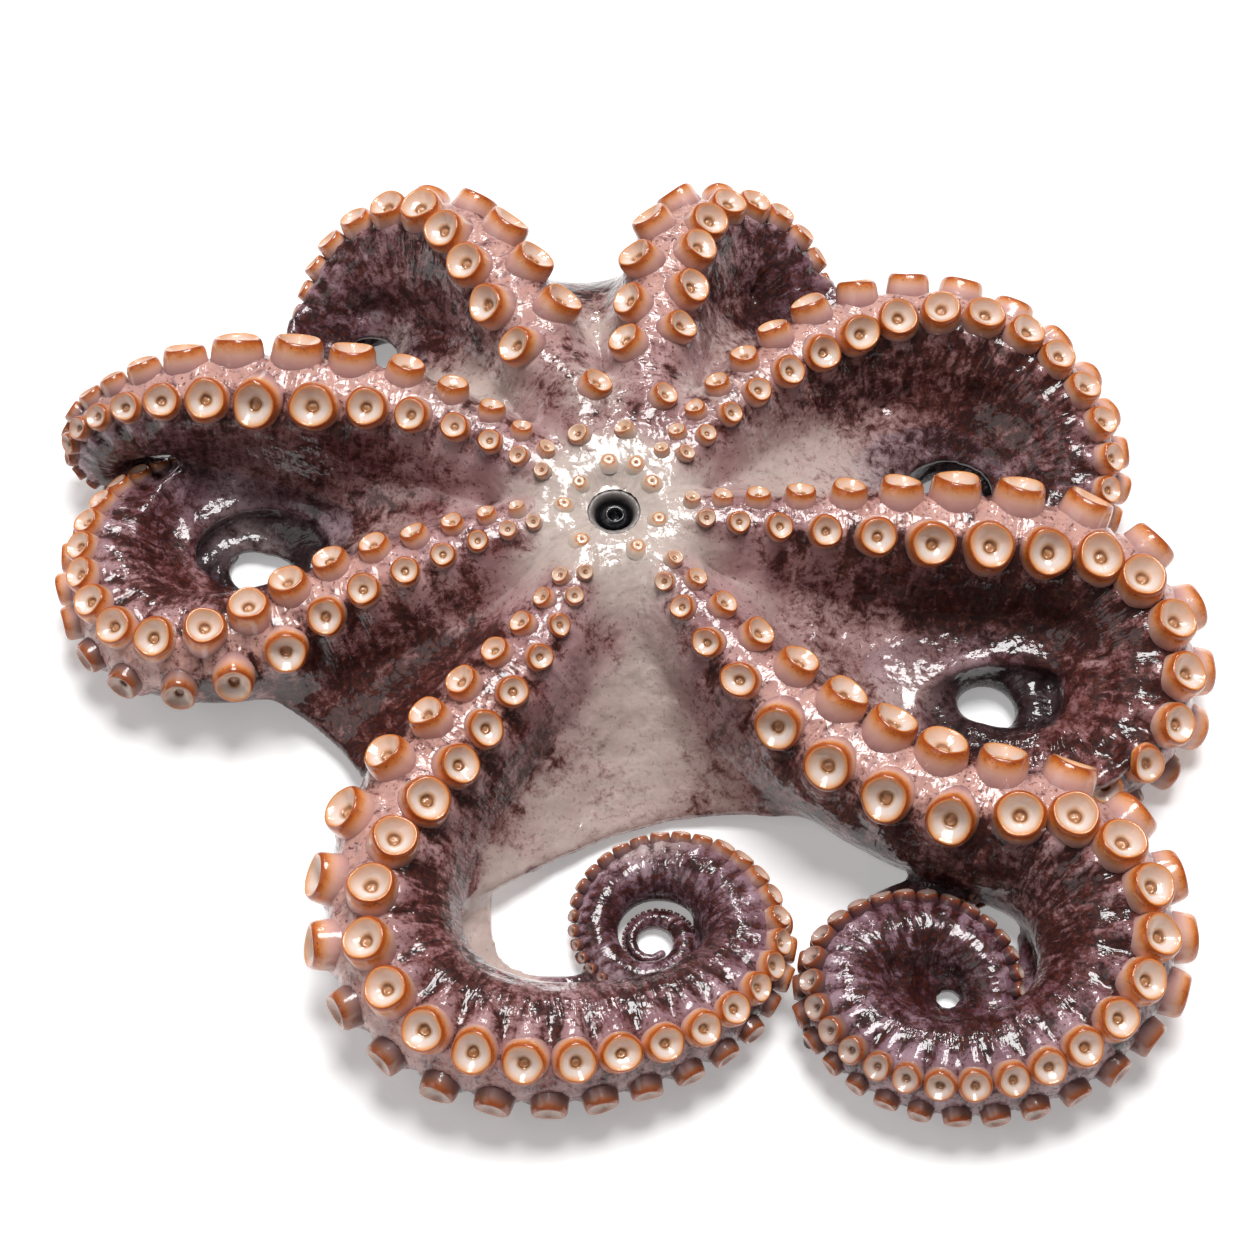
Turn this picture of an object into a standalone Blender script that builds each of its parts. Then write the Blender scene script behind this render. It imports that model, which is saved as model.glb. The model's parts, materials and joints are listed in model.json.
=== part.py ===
"""A whole cooked octopus, lying mouth up with its eight arms curled round their backs.

Two pieces: the octopus itself, one closed solid of head, web, arms and suckers, and the beak in its mouth.
Lengths below are in millimetres. The floor is z = 0 and the back arms run towards +Y.
"""
import math

import bmesh
import bpy
import numpy as np
from mathutils import Matrix, Quaternion, Vector

MM = 0.001

# The mouth: a ring of lip round a flat-floored pit, with the beak standing on the floor.
MOUTH = Vector((-6.0, 39.0, 49.0))
LIP_RADIUS = 6.6
LIP_THICKNESS = 2.4
PIT_RADIUS = 5.4
PIT_DEPTH = 6.0
PIT_SIDES = 20
PIT_FLARE = 1.15
BEAK_RADIUS = 4.7
BEAK_HEIGHT = 4.6
BEAK_HOLE_RADIUS = 1.9
BEAK_SIDES = 20
BEAK_GAP = 0.3

# The body hidden under the arms, and the mound that carries the mouth.
HEAD_RADII = (52.0, 46.0, 36.0)
HEAD_CENTRE_Z = 8.0
MOUND_RADII = (26.0, 25.0, 12.0)

# One entry for each arm, counter-clockwise from the left one.
# route: the arm's middle line from the mouth, as (x, y, height, radius).
# coil: what follows on the floor: centre, turns (minus is clockwise), last reach, last radius.
# tail: points after the coil, like those of the route.
# deep: how far the back of the arm lies behind its middle line, as a share of its radius.
# lean: the stretch over which the suckers roll to the outer side, and by how many degrees.
# out: where that outer side is, 1 for the right of the way the arm runs and -1 for the left.
# cup: greatest sucker diameter. share: sucker diameter over arm radius on the thick part.
# grown: where along the arm the suckers reach that diameter.
# fold: the stretch of the low fold of skin along the inner side, and its width.
ARMS = {
    "left_upper": dict(
        route=[(-16, 45, 42, 9), (-33, 59, 41, 12), (-52, 71, 39, 14), (-72, 79, 38, 15.5), (-94, 83, 37, 16),
               (-117, 86, 36, 15.5), (-139, 86, 34, 14), (-155, 85, 29, 12), (-164, 84, 21, 10.5),
               (-163, 82, 12, 8.5), (-150, 81, 8, 7), (-134, 80, 6, 5.5), (-118, 80, 4.5, 3), (-106, 80, 3, 1.6)],
        deep=1.0, lean=(90, 170, 4), out=1, cup=13.8, share=0.9,
        grown=92, fold=(70, 150, 6),
    ),
    "left_lower": dict(
        route=[(-16, 39, 42, 9), (-29, 37, 38, 11.5), (-47, 32, 34, 13.5), (-66, 26, 29, 15), (-86, 20, 24, 16),
               (-105, 13, 19.5, 17), (-125, 10, 17, 17), (-144, 13, 16, 16), (-155, 26, 14.5, 14.5),
               (-158, 44, 13, 13), (-152, 61, 11, 11), (-138, 72, 9, 9), (-118, 73, 7.5, 7.5)],
        coil=((-117, 48), -0.85, 9.0, 2.0),
        deep=0.5, lean=(60, 150, 60), out=-1, cup=12.0, share=0.72,
        grown=95, fold=(105, 205, 8),
    ),
    "front_left": dict(
        route=[(-12, 31, 42, 9), (-19, 14, 37, 12), (-31, -5, 32, 15), (-47, -25, 27, 17.5), (-62, -46, 22, 19),
               (-70, -71, 19.5, 19.5), (-68, -97, 19, 19), (-54, -115, 18, 18), (-30, -123, 17, 17),
               (-5, -120, 16, 16), (17, -111, 15, 14.5), (30, -95, 12.5, 12.5)],
        coil=((5, -83), 1.95, 3.2, 1.6),
        deep=0.35, lean=(75, 180, 64), out=1, cup=13.4, share=0.7,
        grown=100, fold=(95, 290, 12),
    ),
    "front_right": dict(
        route=[(0, 30, 42, 9), (10, 18, 38, 11.5), (23, 1, 34, 14), (39, -16, 29, 16), (58, -33, 25, 17.5),
               (81, -46, 22, 18.5), (103, -54, 20.5, 19), (122, -60, 19.5, 19), (135, -74, 18.5, 18),
               (138, -94, 17.5, 17.5), (130, -112, 16.5, 16.5), (114, -124, 15, 15), (94, -129, 14, 14),
               (75, -124, 13, 13), (63, -111, 12.5, 12.5), (63, -96, 11.5, 11.5), (74, -86, 10.5, 10.5),
               (88, -84, 9.5, 9.5), (100, -91, 8.5, 8.5), (104, -103, 7, 7), (98, -112, 5, 5), (90, -112, 3, 3)],
        deep=0.5, lean=(120, 200, 64), out=-1, cup=14.0, share=0.77,
        grown=82, fold=(165, 300, 10),
    ),
    "right_lower": dict(
        route=[(4, 37, 42, 9), (18, 38, 40, 11), (38, 37, 38, 12.5), (61, 37, 35, 14.5), (84, 37, 32, 16),
               (106, 37, 29, 17), (128, 34, 25, 17.5), (143, 26, 21, 17), (151, 11, 18, 16), (152, -6, 15.5, 15),
               (146, -21, 13.5, 13.5), (132, -30, 11, 11), (113, -28, 8.5, 8.5), (96, -20, 7.2, 7.2)],
        coil=((105, -6), -0.95, 16.0, 5.8),
        tail=[(121, -25, 6, 6), (119, -44, 6.3, 6.3), (108, -60, 6.5, 6.5), (92, -68, 6.5, 6.5), (75, -73, 6, 6),
              (61, -84, 5.2, 5.2), (53, -100, 4, 4), (51, -115, 2, 2)],
        deep=0.8, lean=(105, 190, 60), out=-1, cup=14.0, share=0.84,
        grown=92, fold=(110, 235, 8),
    ),
    "right_upper": dict(
        route=[(2, 47, 43, 9), (15, 62, 41, 10.5), (29, 79, 39, 12.5), (45, 95, 36, 14), (64, 108, 33, 15),
               (85, 114, 30, 15.5), (104, 113, 27, 15), (121, 104, 24, 14), (132, 90, 21, 13), (137, 73, 17, 12),
               (132, 57, 12, 10.5), (115, 49, 9, 9), (94, 53, 6.5, 6.5)],
        coil=((98, 70), -1.1, 14.0, 2.8),
        deep=1.0, lean=(60, 190, 48), out=-1, cup=11.8, share=0.78,
        grown=88, fold=(75, 235, 10),
    ),
    "back_right": dict(
        route=[(-2, 52, 43, 9), (2, 69, 42, 11), (5, 91, 40, 12.5), (8, 117, 38, 14), (13, 137, 36, 14.5),
               (22, 150, 32, 14), (35, 154, 27, 12.5), (46, 148, 22, 11), (52, 137, 16, 9.5)],
        coil=((38, 131), -0.85, 7.0, 2.0),
        deep=0.8, lean=(70, 150, 52), out=-1, cup=11.5, share=0.84,
        grown=66, fold=(75, 160, 10),
    ),
    "back_left": dict(
        route=[(-9, 52, 43, 9), (-14, 69, 42, 11), (-23, 91, 40, 12.5), (-35, 115, 38, 14), (-48, 136, 36, 14.5),
               (-61, 149, 32, 14), (-75, 152, 27, 12.5), (-88, 148, 21, 10.5), (-97, 137, 14, 8)],
        coil=((-82, 127), 0.9, 12.0, 2.5),
        deep=0.8, lean=(70, 150, 52), out=1, cup=12.5, share=0.92,
        grown=58, fold=(75, 160, 10),
    ),
}
STATION_STEP = 3.0
BACK_RADIUS = 0.86
BACK_FADES = 0.46
BACK_ENDS = 0.66
SUNK_IN_FLOOR = 0.4

# Web between each arm and the next: how far along each arm it reaches, how far its free edge bows
# towards the mouth (as a share of the way there), and how far its middle hangs.
WEBS = [
    ("left_upper", "left_lower", 86, 84, 0.05, 11),
    ("left_lower", "front_left", 128, 116, 0.14, 9),
    ("front_left", "front_right", 140, 138, 0.27, 14),
    ("front_right", "right_lower", 104, 96, 0.04, 12),
    ("right_lower", "right_upper", 84, 96, 0.04, 12),
    ("right_upper", "back_right", 74, 96, 0.04, 9),
    ("back_right", "back_left", 118, 118, 0.1, 6),
    ("back_left", "left_upper", 100, 74, 0.05, 11),
]
WEB_THICKNESS = 4.5
WEB_BELOW_ARM = 0.15
WEB_RINGS = 12
WEB_STRIPS = 8
FOLD_THICKNESS = 4.0

# Round each coil's hole the skin closes in like a funnel: (centre, radii of the hole, height of its edge,
# how far the funnel spreads).
FUNNELS = [
    ((-114, 47), (20.5, 15.0), 14.0, 19.0),
    ((-118, 44), (13.5, 8.0), 5.0, 19.0),
    ((112, -12), (26.0, 16.5), 16.0, 19.0),
    ((97, 68), (14.0, 12.0), 14.0, 19.0),
    ((47, 126), (4.0, 4.0), 14.0, 19.0),
    ((-83, 122), (8.0, 7.0), 12.0, 19.0),
    ((91, -102), (3.5, 3.0), 3.0, 11.0),
]
FUNNEL_RISE = 9.0
FUNNEL_SIDES = 40

# The skin over all of it, before the suckers are fused on.
VOXEL = 1.9
SMOOTH_PASSES = 5
BODY_TRIANGLES = 4050

# The inner corners between arms and web are filled this far from the mouth, but not round the holes of
# the coils: there the filling starts this far out, in radii of the hole.
CREASE_PASSES = 110
FILLED_TO = 105.0
UNFILLED_FROM = 125.0
HOLE_KEPT = 1.25
HOLE_FILLED = 1.8

# Suckers stand in two rows. The smallest ones stay off the solid.
FIRST_SUCKER = 2.0
FIRST_DIAMETER = 3.4
COILED_SHARE = 0.6
MIDDLE_PITCH = 1.32
ROOT_PITCH = 1.8
COILED_PITCH = 1.16
CREST_STEP = 2.0
LEAST_CREST_SPEED = 0.5
ROW_OFFSET = 0.62
SPLAY = 1.22
LEAST_DIAMETER = 8.6
DETAILED_DIAMETER = 13.2


def clear_scene():
    for old in list(bpy.data.objects):
        bpy.data.objects.remove(old)


def smoothstep(value, low, high):
    share = min(1.0, max(0.0, (value - low) / (high - low)))
    return share * share * (3.0 - 2.0 * share)


def coil_points(start, centre, turns, last_reach, last_radius):
    """The (x, y, height, radius) points of a log spiral on the floor, after its first point."""
    arm = start.xy - Vector(centre)
    steps = max(4, round(abs(turns) * 12))
    points = []
    for k in range(1, steps + 1):
        share = k / steps
        radius = start[3] * (last_radius / start[3]) ** share
        reach = (last_reach / arm.length) ** share
        way = Matrix.Rotation(2.0 * math.pi * turns * share, 2) @ arm
        points.append(Vector((centre[0] + way.x * reach, centre[1] + way.y * reach, radius, radius)))
    return points


def even_curve(points, step):
    """Points about a step apart on the smooth curve through the given ones."""
    ends = [points[0] * 2 - points[1]] + points + [points[-1] * 2 - points[-2]]
    fine = []
    for a, b, c, d in zip(ends, ends[1:], ends[2:], ends[3:]):
        for k in range(16):
            t = k / 16
            linear = (c - a) * t
            square = (2 * a - 5 * b + 4 * c - d) * t * t
            cube = (3 * b - a - 3 * c + d) * t * t * t
            fine.append(0.5 * (2 * b + linear + square + cube))
    fine.append(points[-1])
    travelled = [0.0]
    for p, q in zip(fine, fine[1:]):
        travelled.append(travelled[-1] + (q.xyz - p.xyz).length)
    count = round(travelled[-1] / step)
    even = []
    at = 0
    for k in range(count + 1):
        want = travelled[-1] * k / count
        while at < len(fine) - 2 and travelled[at + 1] < want:
            at += 1
        share = (want - travelled[at]) / max(1e-9, travelled[at + 1] - travelled[at])
        even.append(fine[at].lerp(fine[at + 1], min(1.0, share)))
    return even, travelled[-1] / count


def arm_stations(arm):
    """Sections along an arm: distance, middle, radius, the way it runs and the side its suckers face."""
    plan = [Vector(point) for point in arm["route"]]
    if "coil" in arm:
        plan += coil_points(plan[-1], *arm["coil"])
    plan += [Vector(point) for point in arm.get("tail", [])]
    line, step = even_curve(plan, STATION_STEP)
    middles = [Vector((p.x, p.y, max(p.z, p.w - SUNK_IN_FLOOR))) for p in line]
    begin, end, most = arm["lean"]
    stations = []
    up = Vector((0.0, 0.0, 1.0))
    before = (middles[1] - middles[0]).normalized()
    for k, middle in enumerate(middles):
        way = (middles[min(k + 1, len(middles) - 1)] - middles[max(k - 1, 0)]).normalized()
        up = before.rotation_difference(way) @ up
        up = (up - way * up.dot(way)).normalized()
        before = way
        roll = math.radians(most) * smoothstep(k * step, begin, end)
        face = up * math.cos(roll) + way.cross(up) * arm["out"] * math.sin(roll)
        stations.append(dict(along=k * step, middle=middle, radius=line[k].w, way=way, face=face))
    return stations


def station_at(stations, along):
    """A section at any distance along the arm."""
    place = min(max(along / stations[1]["along"], 0.0), len(stations) - 1.001)
    low, high = stations[int(place)], stations[int(place) + 1]
    share = place - int(place)
    return dict(
        middle=low["middle"].lerp(high["middle"], share),
        radius=low["radius"] * (1 - share) + high["radius"] * share,
        way=low["way"].lerp(high["way"], share).normalized(),
        face=low["face"].lerp(high["face"], share).normalized(),
    )


def place_mesh(name, shape, collection):
    """Turns a bmesh into an object of the collection."""
    mesh = bpy.data.meshes.new(name)
    shape.to_mesh(mesh)
    shape.free()
    made = bpy.data.objects.new(name, mesh)
    collection.objects.link(made)
    return made


def tube(name, middles, radii, collection):
    """A round tube of changing radius."""
    curve = bpy.data.curves.new(name, "CURVE")
    curve.dimensions = "3D"
    curve.bevel_depth = MM
    curve.bevel_resolution = 4
    curve.use_fill_caps = True
    spline = curve.splines.new("POLY")
    spline.points.add(len(middles) - 1)
    for point, middle, radius in zip(spline.points, middles, radii):
        point.co = (*(middle * MM), 1.0)
        point.radius = radius
    made = bpy.data.objects.new(name, curve)
    collection.objects.link(made)
    return made


def ellipsoid(name, centre, radii, collection):
    shape = bmesh.new()
    bmesh.ops.create_uvsphere(shape, u_segments=32, v_segments=20, radius=MM)
    size = Matrix.Translation(centre * MM) @ Matrix.Diagonal((*radii, 1.0))
    bmesh.ops.transform(shape, matrix=size, verts=shape.verts)
    return place_mesh(name, shape, collection)


def sheet(name, rows, thickness, collection):
    """A sheet of skin through rows of points."""
    shape = bmesh.new()
    verts = [[shape.verts.new(point * MM) for point in row] for row in rows]
    for row, following in zip(verts, verts[1:]):
        for k in range(len(row) - 1):
            shape.faces.new((row[k], row[k + 1], following[k + 1], following[k]))
    bmesh.ops.recalc_face_normals(shape, faces=shape.faces)
    made = place_mesh(name, shape, collection)
    solid = made.modifiers.new("thickness", "SOLIDIFY")
    solid.thickness = thickness * MM
    solid.offset = 0.0
    return made


def web(arms, first, second, reach_first, reach_second, bow, hang, collection):
    """The skin between two arms, from the mouth to its free edge."""
    rows = []
    for k in range(WEB_RINGS + 1):
        share = k / WEB_RINGS
        a = station_at(arms[first], reach_first * share)
        b = station_at(arms[second], reach_second * share)
        start, end = [s["middle"] - Vector((0, 0, WEB_BELOW_ARM * s["radius"])) for s in (a, b)]
        row = []
        for j in range(WEB_STRIPS + 1):
            across = j / WEB_STRIPS
            arch = 4.0 * across * (1.0 - across)
            point = start.lerp(end, across)
            point.xy = point.xy.lerp(MOUTH.xy, bow * arch * share)
            point.z = max(point.z - hang * arch * share, 0.5 * WEB_THICKNESS)
            row.append(point)
        rows.append(row)
    return sheet(f"web_{first}", rows, WEB_THICKNESS, collection)


def fold(name, arm, stations, collection):
    """The low fold of skin along an arm's inner side."""
    begin, end, width = arm["fold"]
    rows = []
    count = round((end - begin) / 8)
    for k in range(count + 1):
        s = station_at(stations, begin + (end - begin) * k / count)
        reach = width * math.sqrt(math.sin(math.pi * (0.06 + 0.88 * k / count)))
        inner = s["way"].cross(Vector((0, 0, 1))).normalized() * -arm["out"]
        low = max(0.5 * FOLD_THICKNESS, s["middle"].z - 1.6 * s["radius"])
        root = s["middle"] + inner * s["radius"] * 0.4
        edge = s["middle"] + inner * (s["radius"] + reach)
        root.z = edge.z = low
        root.z += 0.3 * s["radius"]
        rows.append([root.lerp(edge, j / 4) for j in range(5)])
    return sheet(f"fold_{name}", rows, FOLD_THICKNESS, collection)


def funnel(number, centre, radii, height, width, collection):
    """The skin round a coil's hole, rising outwards to the arms."""
    rows = []
    for k in range(FUNNEL_SIDES + 1):
        angle = 2.0 * math.pi * k / FUNNEL_SIDES
        row = []
        for j in range(5):
            share = j / 4
            x = centre[0] + math.cos(angle) * (radii[0] + width * share)
            y = centre[1] + math.sin(angle) * (radii[1] + width * share)
            row.append(Vector((x, y, height + FUNNEL_RISE * share * share)))
        rows.append(row)
    return sheet(f"funnel_{number}", rows, FOLD_THICKNESS, collection)


def back_line(arm, stations):
    """The middles and radii of the back of an arm, which ends where the arm starts to coil."""
    length = stations[-1]["along"]
    middles, radii = [], []
    for s in stations:
        if s["along"] > BACK_ENDS * length:
            break
        share = 1.0 - smoothstep(s["along"], BACK_FADES * length, BACK_ENDS * length)
        middles.append(s["middle"] - s["face"] * s["radius"] * arm["deep"] * share)
        radii.append(BACK_RADIUS * s["radius"])
    return middles, radii


def crest_speed(stations, along):
    """How far the crest that carries the suckers runs for each millimetre of the arm's middle line."""
    ends = [station_at(stations, along), station_at(stations, along + CREST_STEP)]
    crest = [s["middle"] + s["face"] * s["radius"] for s in ends]
    return max(LEAST_CREST_SPEED, (crest[1] - crest[0]).length / CREST_STEP)


def sucker_places(arm, stations):
    """(distance along, side, diameter) of every sucker of an arm, its two rows half a pitch apart."""
    length = stations[-1]["along"]
    places = []
    along, side = FIRST_SUCKER, 1
    while along < length - 4.0:
        coiled = smoothstep(along, 0.45 * length, 0.75 * length)
        share = arm["share"] + (COILED_SHARE - arm["share"]) * coiled
        grown = min(1.0, (along - FIRST_SUCKER) / (arm["grown"] - FIRST_SUCKER))
        diameter = FIRST_DIAMETER + (arm["cup"] - FIRST_DIAMETER) * grown
        diameter = min(diameter, share * station_at(stations, along)["radius"])
        places.append((along, side, diameter))
        pitch = ROOT_PITCH + (MIDDLE_PITCH - ROOT_PITCH) * smoothstep(along, 25.0, 90.0)
        pitch += (COILED_PITCH - MIDDLE_PITCH) * smoothstep(along, 0.35 * length, 0.6 * length)
        along += 0.5 * pitch * diameter / crest_speed(stations, along)
        side = -side
    return places


def sucker_shape(diameter):
    """A stalk that opens in a cup, standing on the arm's skin along +Z."""
    detailed = diameter > DETAILED_DIAMETER
    sides = 8 if detailed else 6
    outline = [(1.0, -0.5), (0.88, 0.12), (1.0, 0.44)] if detailed else [(0.96, -0.5), (0.98, 0.44)]
    shape = bmesh.new()
    rings = []
    for radius, height in outline:
        turn = [2.0 * math.pi * k / sides for k in range(sides)]
        corners = [Vector((0.5 * radius * math.cos(a), 0.5 * radius * math.sin(a), height)) for a in turn]
        rings.append([shape.verts.new(corner * diameter * MM) for corner in corners])
    for low, high in zip(rings, rings[1:]):
        for k in range(sides):
            after = (k + 1) % sides
            shape.faces.new((low[k], low[after], high[after], high[k]))
    shape.faces.new(list(reversed(rings[0])))
    cup_floor = shape.verts.new((0.0, 0.0, 0.2 * diameter * MM))
    for k in range(sides):
        shape.faces.new((rings[-1][k], rings[-1][(k + 1) % sides], cup_floor))
    return shape


def suckers(name, arm, stations, collection):
    """The arm's larger suckers, standing out of its skin."""
    for number, (along, side, diameter) in enumerate(sucker_places(arm, stations)):
        if diameter < LEAST_DIAMETER:
            continue
        s = station_at(stations, along)
        angle = math.asin(ROW_OFFSET * diameter / s["radius"]) * side
        out = Quaternion(s["way"], angle) @ s["face"]
        axis = Quaternion(s["way"], angle * SPLAY) @ s["face"]
        made = place_mesh(f"sucker_{name}_{number:02d}", sucker_shape(diameter), collection)
        made.rotation_mode = "QUATERNION"
        made.rotation_quaternion = axis.to_track_quat("Z", "X")
        made.location = (s["middle"] + out * s["radius"]) * MM


def apply_modifiers(obj):
    bpy.context.view_layer.update()
    mesh = bpy.data.meshes.new_from_object(obj.evaluated_get(bpy.context.evaluated_depsgraph_get()))
    obj.modifiers.clear()
    obj.data = mesh


def joined(name, parts, collection):
    """Every object of a collection as one mesh of another, in the same places."""
    bpy.context.view_layer.update()
    graph = bpy.context.evaluated_depsgraph_get()
    shape = bmesh.new()
    for obj in parts.objects:
        mesh = bpy.data.meshes.new_from_object(obj.evaluated_get(graph))
        mesh.transform(obj.matrix_world)
        shape.from_mesh(mesh)
        bpy.data.meshes.remove(mesh)
    remove_all(parts)
    return place_mesh(name, shape, collection)


def remove_all(collection):
    for used in list(collection.objects):
        bpy.data.objects.remove(used)


def skin_over(obj):
    """Turns overlapping shapes into one smooth closed skin of few triangles."""
    remesh = obj.modifiers.new("one skin", "REMESH")
    remesh.mode = "VOXEL"
    remesh.voxel_size = VOXEL * MM
    smooth = obj.modifiers.new("flesh", "SMOOTH")
    smooth.iterations = SMOOTH_PASSES
    smooth.factor = 0.5
    apply_modifiers(obj)
    fill_creases(obj)
    fewer = obj.modifiers.new("few faces", "DECIMATE")
    fewer.ratio = BODY_TRIANGLES / (2 * len(obj.data.polygons))
    apply_modifiers(obj)


def fill_creases(obj):
    """Rounds out the inner corners between arms and web, and leaves the rest as it is."""
    mesh = obj.data
    points = np.empty(3 * len(mesh.vertices))
    normals = np.empty(3 * len(mesh.vertices))
    mesh.vertices.foreach_get("co", points)
    edges = np.empty(2 * len(mesh.edges), dtype=int)
    mesh.edges.foreach_get("vertices", edges)
    near, far = np.concatenate([edges.reshape(-1, 2), edges.reshape(-1, 2)[:, ::-1]]).T
    count = np.bincount(near)[:, None]
    points = points.reshape(-1, 3)
    reach = np.hypot(points[:, 0] / MM - MOUTH.x, points[:, 1] / MM - MOUTH.y)
    share = np.clip((UNFILLED_FROM - reach) / (UNFILLED_FROM - FILLED_TO), 0.0, 1.0)
    for centre, radii, _, _ in FUNNELS:
        oval = np.hypot((points[:, 0] - centre[0]) / radii[0], (points[:, 1] - centre[1]) / radii[1])
        share *= np.clip((oval - HOLE_KEPT) / (HOLE_FILLED - HOLE_KEPT), 0.0, 1.0)
    for _ in range(CREASE_PASSES):
        mesh.vertices.foreach_set("co", points.ravel())
        mesh.update()
        mesh.vertex_normals.foreach_get("vector", normals)
        outward = normals.reshape(-1, 3)
        mean = np.column_stack([np.bincount(near, weights=points[far, axis]) for axis in range(3)]) / count
        lift = np.maximum(0.0, np.sum((mean - points) * outward, axis=1)) * share
        points += outward * lift[:, None]
    mesh.vertices.foreach_set("co", points.ravel())
    mesh.update()


def combine(obj, others, operation):
    """Joins the objects of a collection to obj, or cuts them from it, and removes them."""
    boolean = obj.modifiers.new(operation.lower(), "BOOLEAN")
    boolean.operation = operation
    boolean.operand_type = "COLLECTION"
    boolean.collection = others
    boolean.solver = "EXACT"
    apply_modifiers(obj)
    remove_all(others)


def floor_block(collection):
    """What is under the floor, to cut the octopus flat there."""
    shape = bmesh.new()
    bmesh.ops.create_cube(shape, size=1.0)
    below = Matrix.Translation((0.0, 0.0, -50 * MM)) @ Matrix.Diagonal((600 * MM, 600 * MM, 100 * MM, 1.0))
    bmesh.ops.transform(shape, matrix=below, verts=shape.verts)
    return place_mesh("floor_block", shape, collection)


def lip(collection):
    """The ring of skin round the mouth."""
    turn = [2.0 * math.pi * k / PIT_SIDES for k in range(PIT_SIDES)]
    middles = [MOUTH + Vector((LIP_RADIUS * math.cos(a), LIP_RADIUS * math.sin(a), -0.5)) for a in turn]
    ring = tube("lip", middles, [LIP_THICKNESS] * PIT_SIDES, collection)
    ring.data.splines[0].use_cyclic_u = True
    return ring


def mouth_pit(collection):
    """The hollow of the mouth."""
    shape = bmesh.new()
    depth = 2.0 * PIT_DEPTH
    bmesh.ops.create_cone(shape, cap_ends=True, segments=PIT_SIDES, depth=depth * MM,
                          radius1=PIT_RADIUS * MM, radius2=PIT_RADIUS * PIT_FLARE * MM)
    middle = MOUTH + Vector((0.0, 0.0, 0.5 * depth - PIT_DEPTH))
    bmesh.ops.translate(shape, vec=middle * MM, verts=shape.verts)
    return place_mesh("mouth_pit", shape, collection)


def beak(collection):
    """A low dome of horn with a round hole down its middle."""
    outline = [(0.0, 0.3 * BEAK_HEIGHT), (BEAK_HOLE_RADIUS, 0.8 * BEAK_HEIGHT),
               (1.4 * BEAK_HOLE_RADIUS, BEAK_HEIGHT), (0.85 * BEAK_RADIUS, 0.75 * BEAK_HEIGHT),
               (BEAK_RADIUS, 0.35 * BEAK_HEIGHT), (0.9 * BEAK_RADIUS, 0.0), (0.0, 0.0)]
    shape = bmesh.new()
    verts = [shape.verts.new((radius * MM, 0.0, height * MM)) for radius, height in outline]
    for a, b in zip(verts, verts[1:]):
        shape.edges.new((a, b))
    made = place_mesh("beak", shape, collection)
    turned = made.modifiers.new("turned", "SCREW")
    turned.steps = turned.render_steps = BEAK_SIDES
    turned.use_merge_vertices = True
    turned.merge_threshold = 0.00005
    turned.use_normal_calculate = True
    made.location = (MOUTH - Vector((0.0, 0.0, PIT_DEPTH - BEAK_GAP))) * MM
    return made


def centre_over_origin(octopus, other):
    """Moves both pieces so that the octopus's bounding box is centred on the origin, seen from above."""
    corners = [Vector(corner) for corner in octopus.bound_box]
    middle = (corners[0] + corners[6]) / 2.0
    shift = Vector((-middle.x, -middle.y, 0.0))
    octopus.data.transform(Matrix.Translation(shift))
    other.location += shift


def material(name, colour, roughness):
    made = bpy.data.materials.new(name)
    made.use_nodes = True
    surface = made.node_tree.nodes["Principled BSDF"]
    surface.inputs["Base Color"].default_value = (*colour, 1.0)
    surface.inputs["Roughness"].default_value = roughness
    return made


def new_collection(name):
    made = bpy.data.collections.new(name)
    bpy.context.scene.collection.children.link(made)
    return made


def build():
    clear_scene()
    octopus_set = new_collection("cooked_octopus")
    parts = new_collection("flesh_parts")

    arms = {name: arm_stations(arm) for name, arm in ARMS.items()}
    for name, stations in arms.items():
        middles = [s["middle"] for s in stations]
        tube(f"arm_{name}", middles, [s["radius"] for s in stations], parts)
        tube(f"back_{name}", *back_line(ARMS[name], stations), parts)
        fold(name, ARMS[name], stations, parts)
    for first, second, *shape in WEBS:
        web(arms, first, second, *shape, parts)
    for number, shape in enumerate(FUNNELS):
        funnel(number, *shape, parts)
    ellipsoid("head", Vector((MOUTH.x, MOUTH.y, HEAD_CENTRE_Z)), HEAD_RADII, parts)
    ellipsoid("mound", MOUTH - Vector((0.0, 0.0, MOUND_RADII[2])), MOUND_RADII, parts)
    lip(parts)

    octopus = joined("octopus", parts, octopus_set)
    skin_over(octopus)
    for name, stations in arms.items():
        suckers(name, ARMS[name], stations, parts)
    combine(octopus, parts, "UNION")
    floor_block(parts)
    mouth_pit(parts)
    combine(octopus, parts, "DIFFERENCE")
    bpy.data.collections.remove(parts)
    octopus.data.materials.clear()
    octopus.data.materials.append(material("cooked octopus skin", (0.42, 0.20, 0.19), 0.3))
    horn = beak(octopus_set)
    horn.data.materials.append(material("beak horn", (0.02, 0.02, 0.025), 0.2))
    centre_over_origin(octopus, horn)


build()
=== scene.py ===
"""Looks of the whole cooked octopus: wet mottled skin, pearly suckers, a dark beak in its grey lip.

The routes of the arms and the sizes of the folds, webs and suckers are those of the part, in
millimetres, but for the tighter end of the left front coil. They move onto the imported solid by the
place of its beak.
"""

import json
import math
import random

import bmesh
import bpy
import numpy as np
from mathutils import Matrix, Quaternion, Vector
from mathutils.kdtree import KDTree

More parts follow.
